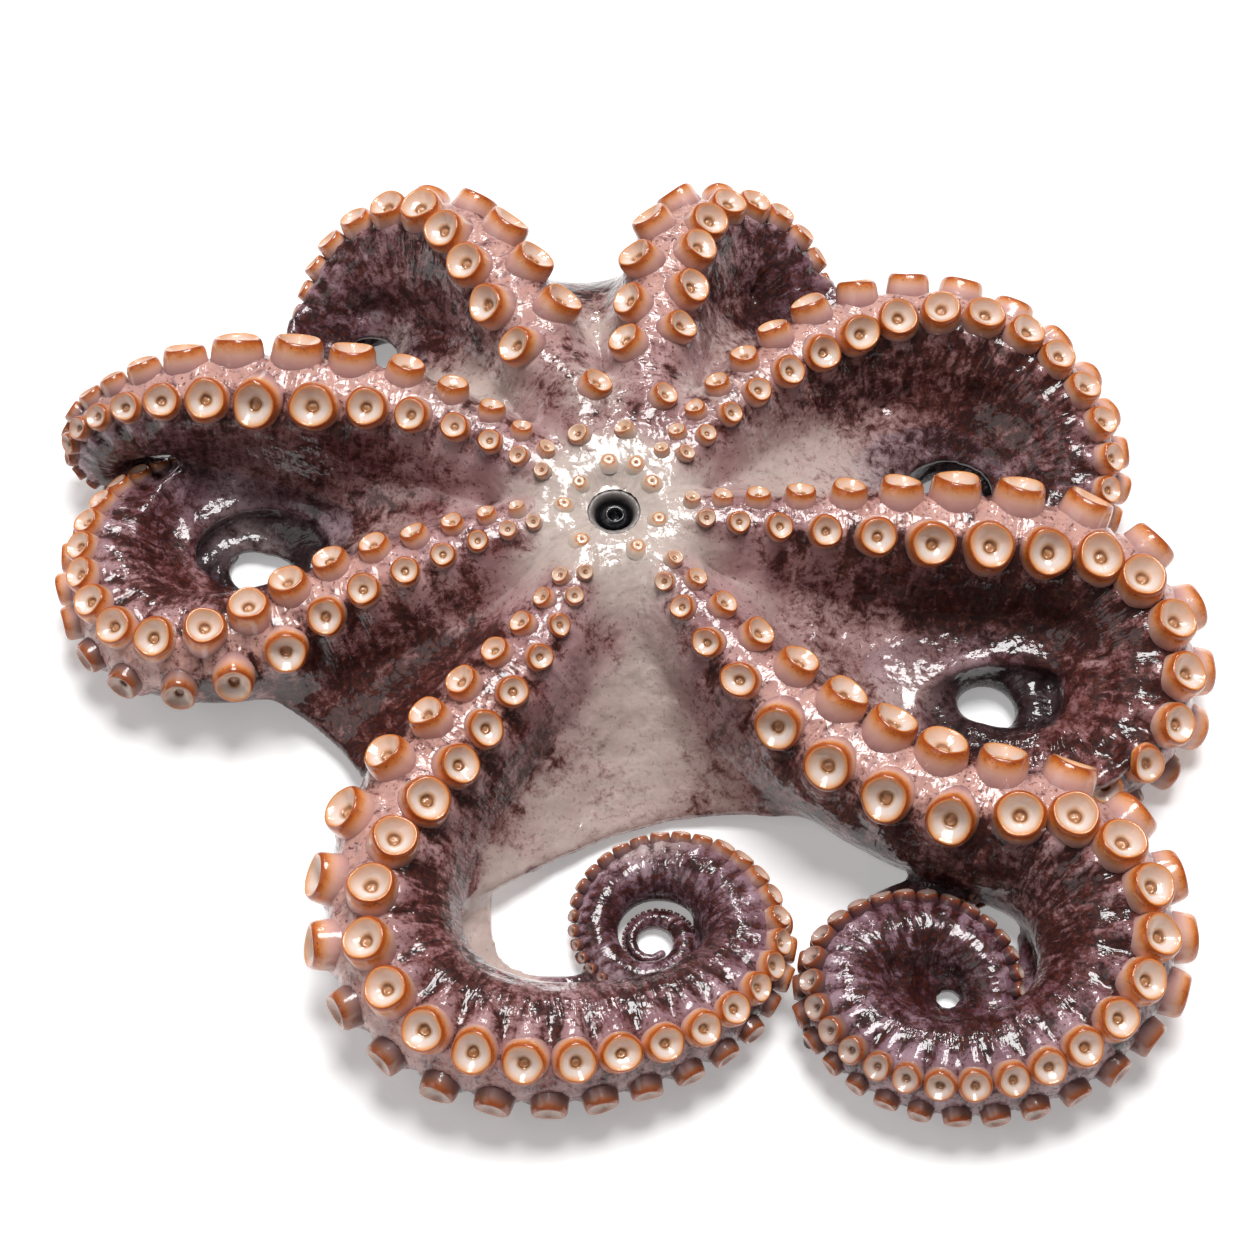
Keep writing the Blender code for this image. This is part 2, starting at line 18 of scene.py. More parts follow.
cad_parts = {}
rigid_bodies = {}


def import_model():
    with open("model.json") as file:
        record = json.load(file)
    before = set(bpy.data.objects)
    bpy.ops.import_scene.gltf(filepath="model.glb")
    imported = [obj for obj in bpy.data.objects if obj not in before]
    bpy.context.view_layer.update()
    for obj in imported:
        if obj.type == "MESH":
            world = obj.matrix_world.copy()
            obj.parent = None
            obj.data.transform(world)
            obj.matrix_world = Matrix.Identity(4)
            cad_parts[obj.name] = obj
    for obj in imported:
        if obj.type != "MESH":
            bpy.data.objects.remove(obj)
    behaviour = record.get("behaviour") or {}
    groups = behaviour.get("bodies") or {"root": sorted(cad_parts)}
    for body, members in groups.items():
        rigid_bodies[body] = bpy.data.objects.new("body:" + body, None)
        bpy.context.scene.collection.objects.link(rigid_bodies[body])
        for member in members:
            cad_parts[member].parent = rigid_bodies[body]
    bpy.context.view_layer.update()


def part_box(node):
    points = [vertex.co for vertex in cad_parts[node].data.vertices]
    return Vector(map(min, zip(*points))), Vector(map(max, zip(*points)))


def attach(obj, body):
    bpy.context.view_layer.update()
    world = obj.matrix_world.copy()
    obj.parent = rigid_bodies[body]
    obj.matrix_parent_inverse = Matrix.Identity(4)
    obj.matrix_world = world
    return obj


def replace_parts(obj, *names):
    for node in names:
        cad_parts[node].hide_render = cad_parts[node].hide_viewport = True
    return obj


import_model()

MM = 0.001
MOUTH = Vector((-6.0, 39.0, 49.0))
MOUND_FROM = 38.0
NEAR_MOUTH = 30.0
PIT_DEPTH = 6.0

# The head under the arms and the mound that carries the mouth.
HEAD_RADII = (52.0, 46.0, 36.0)
HEAD_CENTRE_Z = 8.0
MOUND_RADII = (26.0, 25.0, 12.0)

# One entry for each arm, counter-clockwise from the left one.
# route: the arm's middle line from the mouth, as (x, y, height, radius).
# coil: what follows on the floor: centre, turns (minus is clockwise), last reach, last radius.
# tail: points after the coil, like those of the route.
# deep: how far the back of the arm lies behind its middle line, as a share of its radius.
# lean: the stretch over which the suckers roll to the outer side, and by how many degrees.
# out: where that outer side is, 1 for the right of the way the arm runs and -1 for the left.
# cup: greatest sucker diameter. share: sucker diameter over arm radius on the thick part.
# grown: where along the arm the suckers reach that diameter.
# fold: the stretch of the low fold of skin along the inner side, and its width.
ARMS = {
    "left_upper": dict(
        route=[(-16, 45, 42, 9), (-33, 59, 41, 12), (-52, 71, 39, 14), (-72, 79, 38, 15.5),
               (-94, 83, 37, 16), (-117, 86, 36, 15.5), (-139, 86, 34, 14), (-155, 85, 29, 12),
               (-164, 84, 21, 10.5), (-163, 82, 12, 8.5), (-150, 81, 8, 7), (-134, 80, 6, 5.5),
               (-118, 80, 4.5, 3), (-106, 80, 3, 1.6)],
        deep=1.0, lean=(90, 170, 4), out=1, cup=13.8, share=0.9,
        grown=92, fold=(70, 150, 6),
    ),
    "left_lower": dict(
        route=[(-16, 39, 42, 9), (-29, 37, 38, 11.5), (-47, 32, 34, 13.5), (-66, 26, 29, 15),
               (-86, 20, 24, 16), (-105, 13, 19.5, 17), (-125, 10, 17, 17), (-144, 13, 16, 16),
               (-155, 26, 14.5, 14.5), (-158, 44, 13, 13), (-152, 61, 11, 11), (-138, 72, 9, 9),
               (-118, 73, 7.5, 7.5)],
        coil=((-117, 48), -0.85, 9.0, 2.0),
        deep=0.5, lean=(60, 150, 60), out=-1, cup=12.0, share=0.72,
        grown=95, fold=(105, 205, 8),
    ),
    "front_left": dict(
        route=[(-12, 31, 42, 9), (-19, 14, 37, 12), (-31, -5, 32, 15), (-47, -25, 27, 17.5),
               (-62, -46, 22, 19), (-70, -71, 19.5, 19.5), (-68, -97, 19, 19), (-54, -115, 18, 18),
               (-30, -123, 17, 17), (-5, -120, 16, 16), (17, -111, 15, 14.5), (30, -95, 12.5, 12.5)],
        coil=((5, -83), 1.95, 4.2, 1.3),
        deep=0.35, lean=(75, 180, 64), out=1, cup=13.4, share=0.7,
        grown=100, fold=(95, 290, 12),
    ),
    "front_right": dict(
        route=[(0, 30, 42, 9), (10, 18, 38, 11.5), (23, 1, 34, 14), (39, -16, 29, 16),
               (58, -33, 25, 17.5), (81, -46, 22, 18.5), (103, -54, 20.5, 19), (122, -60, 19.5, 19),
               (135, -74, 18.5, 18), (138, -94, 17.5, 17.5), (130, -112, 16.5, 16.5),
               (114, -124, 15, 15), (94, -129, 14, 14), (75, -124, 13, 13), (63, -111, 12.5, 12.5),
               (63, -96, 11.5, 11.5), (74, -86, 10.5, 10.5), (88, -84, 9.5, 9.5), (100, -91, 8.5, 8.5),
               (104, -103, 7, 7), (98, -112, 5, 5), (90, -112, 3, 3)],
        deep=0.5, lean=(120, 200, 64), out=-1, cup=14.0, share=0.77,
        grown=82, fold=(165, 300, 10),
    ),
    "right_lower": dict(
        route=[(4, 37, 42, 9), (18, 38, 40, 11), (38, 37, 38, 12.5), (61, 37, 35, 14.5),
               (84, 37, 32, 16), (106, 37, 29, 17), (128, 34, 25, 17.5), (143, 26, 21, 17),
               (151, 11, 18, 16), (152, -6, 15.5, 15), (146, -21, 13.5, 13.5), (132, -30, 11, 11),
               (113, -28, 8.5, 8.5), (96, -20, 7.2, 7.2)],
        coil=((105, -6), -0.95, 16.0, 5.8),
        tail=[(121, -25, 6, 6), (119, -44, 6.3, 6.3), (108, -60, 6.5, 6.5), (92, -68, 6.5, 6.5),
              (75, -73, 6, 6), (61, -84, 5.2, 5.2), (53, -100, 4, 4), (51, -115, 2, 2)],
        deep=0.8, lean=(105, 190, 60), out=-1, cup=14.0, share=0.84,
        grown=92, fold=(110, 235, 8),
    ),
    "right_upper": dict(
        route=[(2, 47, 43, 9), (15, 62, 41, 10.5), (29, 79, 39, 12.5), (45, 95, 36, 14),
               (64, 108, 33, 15), (85, 114, 30, 15.5), (104, 113, 27, 15), (121, 104, 24, 14),
               (132, 90, 21, 13), (137, 73, 17, 12), (132, 57, 12, 10.5), (115, 49, 9, 9),
               (94, 53, 6.5, 6.5)],
        coil=((98, 70), -1.1, 14.0, 2.8),
        deep=1.0, lean=(60, 190, 48), out=-1, cup=11.8, share=0.78,
        grown=88, fold=(75, 235, 10),
    ),
    "back_right": dict(
        route=[(-2, 52, 43, 9), (2, 69, 42, 11), (5, 91, 40, 12.5), (8, 117, 38, 14),
               (13, 137, 36, 14.5), (22, 150, 32, 14), (35, 154, 27, 12.5), (46, 148, 22, 11),
               (52, 137, 16, 9.5)],
        coil=((38, 131), -0.85, 7.0, 2.0),
        deep=0.8, lean=(70, 150, 52), out=-1, cup=11.5, share=0.84,
        grown=66, fold=(75, 160, 10),
    ),
    "back_left": dict(
        route=[(-9, 52, 43, 9), (-14, 69, 42, 11), (-23, 91, 40, 12.5), (-35, 115, 38, 14),
               (-48, 136, 36, 14.5), (-61, 149, 32, 14), (-75, 152, 27, 12.5), (-88, 148, 21, 10.5),
               (-97, 137, 14, 8)],
        coil=((-82, 127), 0.9, 12.0, 2.5),
        deep=0.8, lean=(70, 150, 52), out=1, cup=12.5, share=0.92,
        grown=58, fold=(75, 160, 10),
    ),
}
STATION_STEP = 3.0
BACK_RADIUS = 0.86
BACK_FADES = 0.46
BACK_ENDS = 0.66
SUNK_IN_FLOOR = 0.4

# Web between each arm and the next: how far along each arm it reaches, how far its free edge bows
# towards the mouth (as a share of the way there), and how far its middle hangs.
WEBS = [
    ("left_upper", "left_lower", 86, 84, 0.05, 11),
    ("left_lower", "front_left", 128, 116, 0.14, 9),
    ("front_left", "front_right", 140, 138, 0.27, 14),
    ("front_right", "right_lower", 104, 96, 0.04, 12),
    ("right_lower", "right_upper", 84, 96, 0.04, 12),
    ("right_upper", "back_right", 74, 96, 0.04, 9),
    ("back_right", "back_left", 118, 118, 0.1, 6),
    ("back_left", "left_upper", 100, 74, 0.05, 11),
]
WEB_THICKNESS = 4.5
WEB_BELOW_ARM = 0.15
WEB_RINGS = 12
WEB_STRIPS = 8
FOLD_THICKNESS = 4.0
FOLD_STEP = 8.0

# Round each coil's hole the skin closes in like a funnel: (centre, radii of the hole, height of its edge,
# how far the funnel spreads).
FUNNELS = [
    ((-114, 47), (20.5, 15.0), 14.0, 19.0),
    ((-118, 44), (13.5, 8.0), 5.0, 19.0),
    ((112, -12), (26.0, 16.5), 16.0, 19.0),
    ((97, 68), (14.0, 12.0), 14.0, 19.0),
    ((47, 126), (4.0, 4.0), 14.0, 19.0),
    ((-83, 122), (8.0, 7.0), 12.0, 19.0),
    ((91, -102), (3.5, 3.0), 3.0, 11.0),
]
FUNNEL_RISE = 9.0
FUNNEL_SIDES = 40

# The right lower arm's funnel doesn't rise on the side of the mouth, where the web lies over it.
COVERED_FUNNEL = 2

# Suckers stand in two rows along each arm.
FIRST_SUCKER = 2.0
FIRST_DIAMETER = 3.4
COILED_SHARE = 0.6
MIDDLE_PITCH = 1.32
ROOT_PITCH = 1.8
COILED_PITCH = 1.16
CREST_STEP = 2.0
LEAST_CREST_SPEED = 0.5
ROW_OFFSET = 0.62
SPLAY = 1.22

# The inner corners between arms and web are filled this far from the mouth, but not round the holes of
# the coils: there the filling starts this far out, in radii of the hole.
CREASE_PASSES = 130
FILLED_TO = 105.0
UNFILLED_FROM = 125.0
HOLE_KEPT = 1.25
HOLE_FILLED = 1.45

# How pale and how pigmented the thin fold along an arm is, where it isn't a mauve like the arm's.
FOLD_TONES = {"front_left": (0.85, 0.05), "front_right": (0.0, 0.95), "right_lower": (0.5, 0.1)}
TAIL_ARM = "right_lower"

# How far beyond a coil's hole the painted shade of its hollow reaches.
HOLLOW_SHADE_RIM = 4.0

# Where the skin is pale or dark whatever the arm does there:
# (x, y, how far it spreads, how pale, how much pigment).
PATCHES = [
    (-6, 44, 24, 1, 0), (-11, 111, 13, 0.85, 0.1), (-13, 82, 13, 1, 0.05), (-49, 87, 19, 0.95, 0.05),
    (-66, 102, 14, 0.9, 0.05), (-73, 111, 8, 0.9, 0.05), (23, 85, 12, 0.85, 0.1),
    (30, 113, 14, 0.55, 0.3), (47, 60, 18, 0.85, 0.15), (68, 69, 12, 0.6, 0.25), (20, 27, 10, 0.4, 0.3),
    (50, 12, 15, 0.2, 0.35), (68, 6, 14, 0.2, 0.3), (2, 15, 12, 1, 0.05), (2, -7, 15, 0.95, 0.1),
    (3, -30, 18, 0.85, 0.05), (-22, -42, 12, 0.75, 0.12), (32, -38, 12, 0.65, 0.15),
    (5, -52, 14, 0.75, 0.08), (-22, -54, 13, 0.8, 0.03), (-8, -48, 12, 0.8, 0.03),
    (-39, -64, 10, 0.9, 0), (-34, -87, 9, 0.85, 0.1), (-13, -101, 9, 0.7, 0.2),
    (-118, 58, 14, 0.75, 0.0), (83, -5, 12, 0.5, 0.1), (80, 84, 15, 0.25, 0.4), (-75, 125, 6, 0.9, 0),
    (-61, 1, 18, 0, 0.95), (-82, -11, 18, 0, 0.95), (-49, 18, 10, 0, 0.75), (-85, 9, 12, 0, 0.9),
    (-100, -3, 15, 0, 0.9), (-112, 69, 15, 0, 0.55), (-139, 70, 15, 0, 0.6), (-85, 62, 15, 0, 0.6),
    (-61, 52, 12, 0, 0.6), (-88, 142, 14, 0, 0.75), (-58, 118, 12, 0, 0.7), (42, 143, 14, 0, 0.85),
    (92, 109, 16, 0, 0.75), (122, 95, 18, 0, 0.85), (71, 98, 12, 0.1, 0.65), (74, 24, 14, 0, 0.95),
    (98, 20, 15, 0, 0.95), (128, 19, 15, 0, 0.95), (152, 12, 12, 0, 0.9), (47, 27, 9, 0, 0.7),
    (155, -6, 15, 0, 0.9), (146, -28, 15, 0, 0.85), (38, -36, 10, 0, 0.7), (68, -62, 14, 0, 0.85),
    (98, -70, 18, 0, 0.95), (26, -16, 9, 0, 0.6), (146, -77, 18, 0, 0.85), (149, -104, 15, 0, 0.7),
    (100, 1, 13, 0.12, 0.3), (78, 8, 12, 0.15, 0.35), (-75, -22, 14, 0, 0.95), (-44, 4, 10, 0, 0.9),
    (-100, -15, 14, 0, 0.85), (-55, 84, 10, 0.95, 0.0), (-118, -5, 12, 0, 0.7), (120, -75, 12, 0, 0.9),
    (60, 72, 12, 0.75, 0.15), (-39, -22, 12, 0, 0.9), (-49, -42, 10, 0, 0.85), (-58, -72, 12, 0, 0.75),
    (-49, -100, 12, 0, 0.7), (-22, -116, 15, 0, 0.55), (-10, 2, 9, 0, 0.6),
]

VOXEL = 1.85
SMOOTH_PASSES = 4
SLENDER = 5.5

# The end of the left front coil stands free of the skin's grid, so that its inner turn stays apart.
ENDS_ALONE = 5.0
FREE_ENDS = {"front_left"}

# The skin sinks in a bowl round the mouth: radius of its bottom, of its brim, and its depth.
BOWL = (8.0, 11.5, 1.0)
OPENING = 8.0

# Behind this line what lies next to the left front coil is the web and not the coil.
WEB_BEHIND = -60.0
WEB_STATE = {"above": 20.0, "share": 0.2, "along": 100.0, "angle": 1.5}

# One small nub stands at the root of each arm, and no other sucker up to the first pair's distance.
NUB_DIAMETER = 4.8
FIRST_PAIR = 9.0

# Near the mouth the suckers of the back arms stand in a loose zigzag: how far along each arm.
LOOSE_ROWS = {"back_left": 50.0, "back_right": 50.0}
LOOSE_GROWTH = 1.2

# Suckers that face down at the front are smaller by this share, and take this share of the dark finish of
# those at the ends as painted shade.
TURNED_SMALLER = 0.18
TURNED_SHADED = 0.75

# A sucker wider than the first of these has many sides, and one narrower than the second is a bead.
WIDE_CUP = 6.5
SMALL_CUP = 4.2

# The flesh stands up round the foot of a sucker by this share of its diameter.
CUSHION = 0.12
LEAST_CUSHIONED = 5.0


def smoothstep(value, low, high):
    share = np.clip((value - low) / (high - low), 0.0, 1.0)
    return share * share * (3.0 - 2.0 * share)


def from_mouth(points):
    """How far each point lies from the mouth in plan."""
    return np.hypot(points[:, 0] - MOUTH.x, points[:, 1] - MOUTH.y)


def hole_radii_away(points, centre, radii):
    """How far each point lies from a hole's centre in plan, in radii of the hole."""
    return np.hypot((points[:, 0] - centre[0]) / radii[0], (points[:, 1] - centre[1]) / radii[1])


def coil_points(start, centre, turns, last_reach, last_radius):
    """The (x, y, height, radius) points of a log spiral on the floor, after its first point."""
    arm = start.xy - Vector(centre)
    steps = max(4, round(abs(turns) * 12))
    points = []
    for k in range(1, steps + 1):
        share = k / steps
        radius = start[3] * (last_radius / start[3]) ** share
        reach = (last_reach / arm.length) ** share
        way = Matrix.Rotation(2.0 * math.pi * turns * share, 2) @ arm
        points.append(Vector((centre[0] + way.x * reach, centre[1] + way.y * reach, radius, radius)))
    return points


def even_curve(points, step):
    """Points about a step apart on the smooth curve through the given ones."""
    ends = [points[0] * 2 - points[1]] + points + [points[-1] * 2 - points[-2]]
    fine = []
    for a, b, c, d in zip(ends, ends[1:], ends[2:], ends[3:]):
        for k in range(16):
            t = k / 16
            linear = (c - a) * t
            square = (2 * a - 5 * b + 4 * c - d) * t * t
            cube = (3 * b - a - 3 * c + d) * t * t * t
            fine.append(0.5 * (2 * b + linear + square + cube))
    fine.append(points[-1])
    travelled = [0.0]
    for p, q in zip(fine, fine[1:]):
        travelled.append(travelled[-1] + (q.xyz - p.xyz).length)
    count = round(travelled[-1] / step)
    even = []
    at = 0
    for k in range(count + 1):
        want = travelled[-1] * k / count
        while at < len(fine) - 2 and travelled[at + 1] < want:
            at += 1
        share = (want - travelled[at]) / max(1e-9, travelled[at + 1] - travelled[at])
        even.append(fine[at].lerp(fine[at + 1], min(1.0, share)))
    return even, travelled[-1] / count


def arm_stations(arm):
    """Sections along an arm: distance, middle, radius, the way it runs and the side its suckers face."""
    plan = [Vector(point) for point in arm["route"]]
    if "coil" in arm:
        plan += coil_points(plan[-1], *arm["coil"])
    plan += [Vector(point) for point in arm.get("tail", [])]
    line, step = even_curve(plan, STATION_STEP)
    middles = [Vector((p.x, p.y, max(p.z, p.w - SUNK_IN_FLOOR))) for p in line]
    begin, end, most = arm["lean"]
    stations = []
    up = Vector((0.0, 0.0, 1.0))
    before = (middles[1] - middles[0]).normalized()
    for k, middle in enumerate(middles):
        way = (middles[min(k + 1, len(middles) - 1)] - middles[max(k - 1, 0)]).normalized()
        up = before.rotation_difference(way) @ up
        up = (up - way * up.dot(way)).normalized()
        before = way
        roll = math.radians(most) * float(smoothstep(k * step, begin, end))
        face = up * math.cos(roll) + way.cross(up) * arm["out"] * math.sin(roll)
        stations.append(dict(along=k * step, middle=middle, radius=line[k].w, way=way, face=face))
    return stations


def station_at(stations, along):
    """A section at any distance along the arm."""
    place = min(max(along / stations[1]["along"], 0.0), len(stations) - 1.001)
    low, high = stations[int(place)], stations[int(place) + 1]
    share = place - int(place)
    return dict(
        middle=low["middle"].lerp(high["middle"], share),
        radius=low["radius"] * (1 - share) + high["radius"] * share,
        way=low["way"].lerp(high["way"], share).normalized(),
        face=low["face"].lerp(high["face"], share).normalized(),
    )


def back_line(arm, stations):
    """The middles and radii of the back of an arm, which ends where the arm starts to coil."""
    length = stations[-1]["along"]
    middles, radii = [], []
    for s in stations:
        if s["along"] > BACK_ENDS * length:
            break
        share = 1.0 - float(smoothstep(s["along"], BACK_FADES * length, BACK_ENDS * length))
        middles.append(s["middle"] - s["face"] * s["radius"] * arm["deep"] * share)
        radii.append(BACK_RADIUS * s["radius"])
    return middles, radii


def crest_speed(stations, along):
    """How far the crest that carries the suckers runs for each millimetre of the arm's middle line."""
    ends = [station_at(stations, along), station_at(stations, along + CREST_STEP)]
    crest = [s["middle"] + s["face"] * s["radius"] for s in ends]
    return max(LEAST_CREST_SPEED, (crest[1] - crest[0]).length / CREST_STEP)


def sucker_places(arm, stations):
    """(distance along, side, diameter) of every sucker of an arm, its two rows half a pitch apart."""
    length = stations[-1]["along"]
    places = []
    along, side = FIRST_SUCKER, 1
    while along < length - 2.0:
        coiled = float(smoothstep(along, 0.45 * length, 0.75 * length))
        share = arm["share"] + (COILED_SHARE - arm["share"]) * coiled
        grown = min(1.0, (along - FIRST_SUCKER) / (arm["grown"] - FIRST_SUCKER))
        diameter = FIRST_DIAMETER + (arm["cup"] - FIRST_DIAMETER) * grown
        diameter = max(1.2, min(diameter, share * station_at(stations, along)["radius"]))
        places.append((along, side, diameter))
        pitch = ROOT_PITCH + (MIDDLE_PITCH - ROOT_PITCH) * float(smoothstep(along, 25.0, 90.0))
        pitch += (COILED_PITCH - MIDDLE_PITCH) * float(smoothstep(along, 0.35 * length, 0.6 * length))
        along += 0.5 * pitch * diameter / crest_speed(stations, along)
        side = -side
    return places


# Shapes of the skin.

def place_mesh(name, shape, collection):
    mesh = bpy.data.meshes.new(name)
    shape.to_mesh(mesh)
    shape.free()
    made = bpy.data.objects.new(name, mesh)
    collection.objects.link(made)
    return made


def tube(name, middles, radii, collection):
    """A round tube of changing radius."""
    curve = bpy.data.curves.new(name, "CURVE")
    curve.dimensions = "3D"
    curve.bevel_depth = 1.0
    curve.bevel_resolution = 6
    curve.use_fill_caps = True
    spline = curve.splines.new("POLY")
    spline.points.add(len(middles) - 1)
    for point, middle, radius in zip(spline.points, middles, radii):
        point.co = (*middle, 1.0)
        point.radius = radius
    made = bpy.data.objects.new(name, curve)
    collection.objects.link(made)
    return made


def ellipsoid(name, centre, radii, collection):
    shape = bmesh.new()
    bmesh.ops.create_uvsphere(shape, u_segments=48, v_segments=32, radius=1.0)
    size = Matrix.Translation(centre) @ Matrix.Diagonal((*radii, 1.0))
    bmesh.ops.transform(shape, matrix=size, verts=shape.verts)
    return place_mesh(name, shape, collection)


def sheet(name, rows, thickness, collection):
    """A sheet of skin through rows of points."""
    shape = bmesh.new()
    verts = [[shape.verts.new(point) for point in row] for row in rows]
    for row, following in zip(verts, verts[1:]):
        for k in range(len(row) - 1):
            shape.faces.new((row[k], row[k + 1], following[k + 1], following[k]))
    bmesh.ops.recalc_face_normals(shape, faces=shape.faces)
    made = place_mesh(name, shape, collection)
    solid = made.modifiers.new("thickness", "SOLIDIFY")
    solid.thickness = thickness
    solid.offset = 0.0
    return made


def web(arms, first, second, reach_first, reach_second, bow, hang, collection):
    """The skin between two arms, from the mouth to its free edge."""
    rows = []
    for k in range(WEB_RINGS + 1):
        share = k / WEB_RINGS
        a = station_at(arms[first], reach_first * share)
        b = station_at(arms[second], reach_second * share)
        start, end = [s["middle"] - Vector((0, 0, WEB_BELOW_ARM * s["radius"])) for s in (a, b)]
        row = []
        for j in range(WEB_STRIPS + 1):
            across = j / WEB_STRIPS
            arch = 4.0 * across * (1.0 - across)
            point = start.lerp(end, across)
            point.xy = point.xy.lerp(MOUTH.xy, bow * arch * share)
            point.z = max(point.z - hang * arch * share, 0.5 * WEB_THICKNESS)
            row.append(point)
        rows.append(row)
    return sheet(f"web_{first}", rows, WEB_THICKNESS, collection)


def fold(name, arm, stations, collection):
    """The low fold of skin along an arm's inner side."""
    begin, end, width = arm["fold"]
    rows = []
    count = round((end - begin) / FOLD_STEP)
    for k in range(count + 1):
        s = station_at(stations, begin + (end - begin) * k / count)
        reach = width * math.sqrt(math.sin(math.pi * (0.06 + 0.88 * k / count)))
        inner = s["way"].cross(Vector((0, 0, 1))).normalized() * -arm["out"]
        low = max(0.5 * FOLD_THICKNESS, s["middle"].z - 1.6 * s["radius"])
        root = s["middle"] + inner * s["radius"] * 0.4
        edge = s["middle"] + inner * (s["radius"] + reach)
        root.z = edge.z = low
        root.z += 0.3 * s["radius"]
        rows.append([root.lerp(edge, j / 4) for j in range(5)])
    return sheet(f"fold_{name}", rows, FOLD_THICKNESS, collection)


def funnel(number, centre, radii, height, width, collection):
    """The skin round a coil's hole, rising outwards to the arms."""
    rows = []
    mouthward = math.atan2(MOUTH.y - centre[1], MOUTH.x - centre[0])
    for k in range(FUNNEL_SIDES + 1):
        angle = 2.0 * math.pi * k / FUNNEL_SIDES
        covered = max(0.0, math.cos(angle - mouthward)) if number == COVERED_FUNNEL else 0.0
        row = []
        for j in range(5):
            share = j / 4
            x = centre[0] + math.cos(angle) * (radii[0] + width * share)
            y = centre[1] + math.sin(angle) * (radii[1] + width * share)
            row.append(Vector((x, y, height + FUNNEL_RISE * (1.0 - 1.3 * covered) * share * share)))
        rows.append(row)
    return sheet(f"funnel_{number}", rows, FOLD_THICKNESS, collection)


def one_skin(arms):
    """Every tube, web, fold and funnel of the octopus under one smooth skin, in millimetres."""
    parts = bpy.data.collections.new("flesh")
    bpy.context.scene.collection.children.link(parts)
    for name, stations in arms.items():
        thick = [s for s in stations if s["radius"] > ENDS_ALONE or name not in FREE_ENDS]
        tube(f"arm_{name}", [s["middle"] for s in thick], [s["radius"] for s in thick], parts)
        tube(f"back_{name}", *back_line(ARMS[name], stations), parts)
        fold(name, ARMS[name], stations, parts)
    for first, second, *shape in WEBS:
        web(arms, first, second, *shape, parts)
    for number, shape in enumerate(FUNNELS):
        funnel(number, *shape, parts)
    ellipsoid("head", Vector((MOUTH.x, MOUTH.y, HEAD_CENTRE_Z)), HEAD_RADII, parts)
    ellipsoid("mound", MOUTH - Vector((0.0, 0.0, MOUND_RADII[2])), MOUND_RADII, parts)

    bpy.context.view_layer.update()
    graph = bpy.context.evaluated_depsgraph_get()
    shape = bmesh.new()
    for obj in list(parts.objects):
        mesh = bpy.data.meshes.new_from_object(obj.evaluated_get(graph))
        shape.from_mesh(mesh)
        bpy.data.meshes.remove(mesh)
    for obj in list(parts.objects):
        bpy.data.objects.remove(obj)
    bpy.data.collections.remove(parts)
    skin = place_mesh("skin", shape, bpy.context.scene.collection)
    remesh = skin.modifiers.new("one skin", "REMESH")
    remesh.mode = "VOXEL"
    remesh.voxel_size = VOXEL
    smooth = skin.modifiers.new("flesh", "SMOOTH")
    smooth.iterations = SMOOTH_PASSES
    smooth.factor = 0.5
    bpy.context.view_layer.update()
    mesh = bpy.data.meshes.new_from_object(skin.evaluated_get(bpy.context.evaluated_depsgraph_get()))
    skin.modifiers.clear()
    skin.data = mesh
    fill_creases(mesh)
    return skin


def fill_creases(mesh):
    """Rounds out the inner corners between arms and web, and leaves the rest as it is."""
    points = vertex_array(mesh)
    edges = np.empty(2 * len(mesh.edges), dtype=int)
    mesh.edges.foreach_get("vertices", edges)
    near, far = np.concatenate([edges.reshape(-1, 2), edges.reshape(-1, 2)[:, ::-1]]).T
    count = np.bincount(near)[:, None]
    reach = from_mouth(points)
    share = np.clip((UNFILLED_FROM - reach) / (UNFILLED_FROM - FILLED_TO), 0.0, 1.0)
    for centre, radii, _, _ in FUNNELS:
        oval = hole_radii_away(points, centre, radii)
        share *= np.clip((oval - HOLE_KEPT) / (HOLE_FILLED - HOLE_KEPT), 0.0, 1.0)
    for _ in range(CREASE_PASSES):
        mesh.vertices.foreach_set("co", points.ravel())
        mesh.update()
        outward = vertex_array(mesh, "normal")
        mean = np.column_stack([np.bincount(near, weights=points[far, axis]) for axis in range(3)]) / count
        lift = np.maximum(0.0, np.sum((mean - points) * outward, axis=1)) * share
        points += outward * lift[:, None]
    mesh.vertices.foreach_set("co", points.ravel())
    mesh.update()


# Where each point of the skin lies on the animal.

def arm_tables(arms):
    """All sections of all arms as arrays."""
    rows = [(name, s) for name, stations in arms.items() for s in stations]
    names = list(arms)
    return dict(
        middle=np.array([s["middle"] for _, s in rows]),
        radius=np.array([s["radius"] for _, s in rows]),
        way=np.array([s["way"] for _, s in rows]),
        face=np.array([s["face"] for _, s in rows]),
        along=np.array([s["along"] for _, s in rows]),
        arm=np.array([names.index(name) for name, _ in rows]),
        share=np.array([s["along"] / arms[name][-1]["along"] for name, s in rows]),
    )


def on_the_arm(points, tables):
    """For each point: its arm, distance along, angle from the sucker side, and height over the arm's tube."""
    nearest = np.empty(len(points), int)
    for first in range(0, len(points), 4000):
        chunk = points[first:first + 4000]
        away = np.linalg.norm(chunk[:, None, :] - tables["middle"][None], axis=2) - tables["radius"][None]
        nearest[first:first + 4000] = np.argmin(away, axis=1)
    way, face = tables["way"][nearest], tables["face"][nearest]
    radius = tables["radius"][nearest]
    offset = points - tables["middle"][nearest]
    forward = np.sum(offset * way, axis=1)
    across = offset - way * forward[:, None]
    side = np.cross(way, face)
    angle = np.arctan2(np.sum(across * side, axis=1), np.sum(across * face, axis=1))
    return dict(
        arm=tables["arm"][nearest],
        along=tables["along"][nearest] + forward,
        share=tables["share"][nearest],
        radius=radius,
        angle=angle,
        above=np.linalg.norm(across, axis=1) - radius,
    )


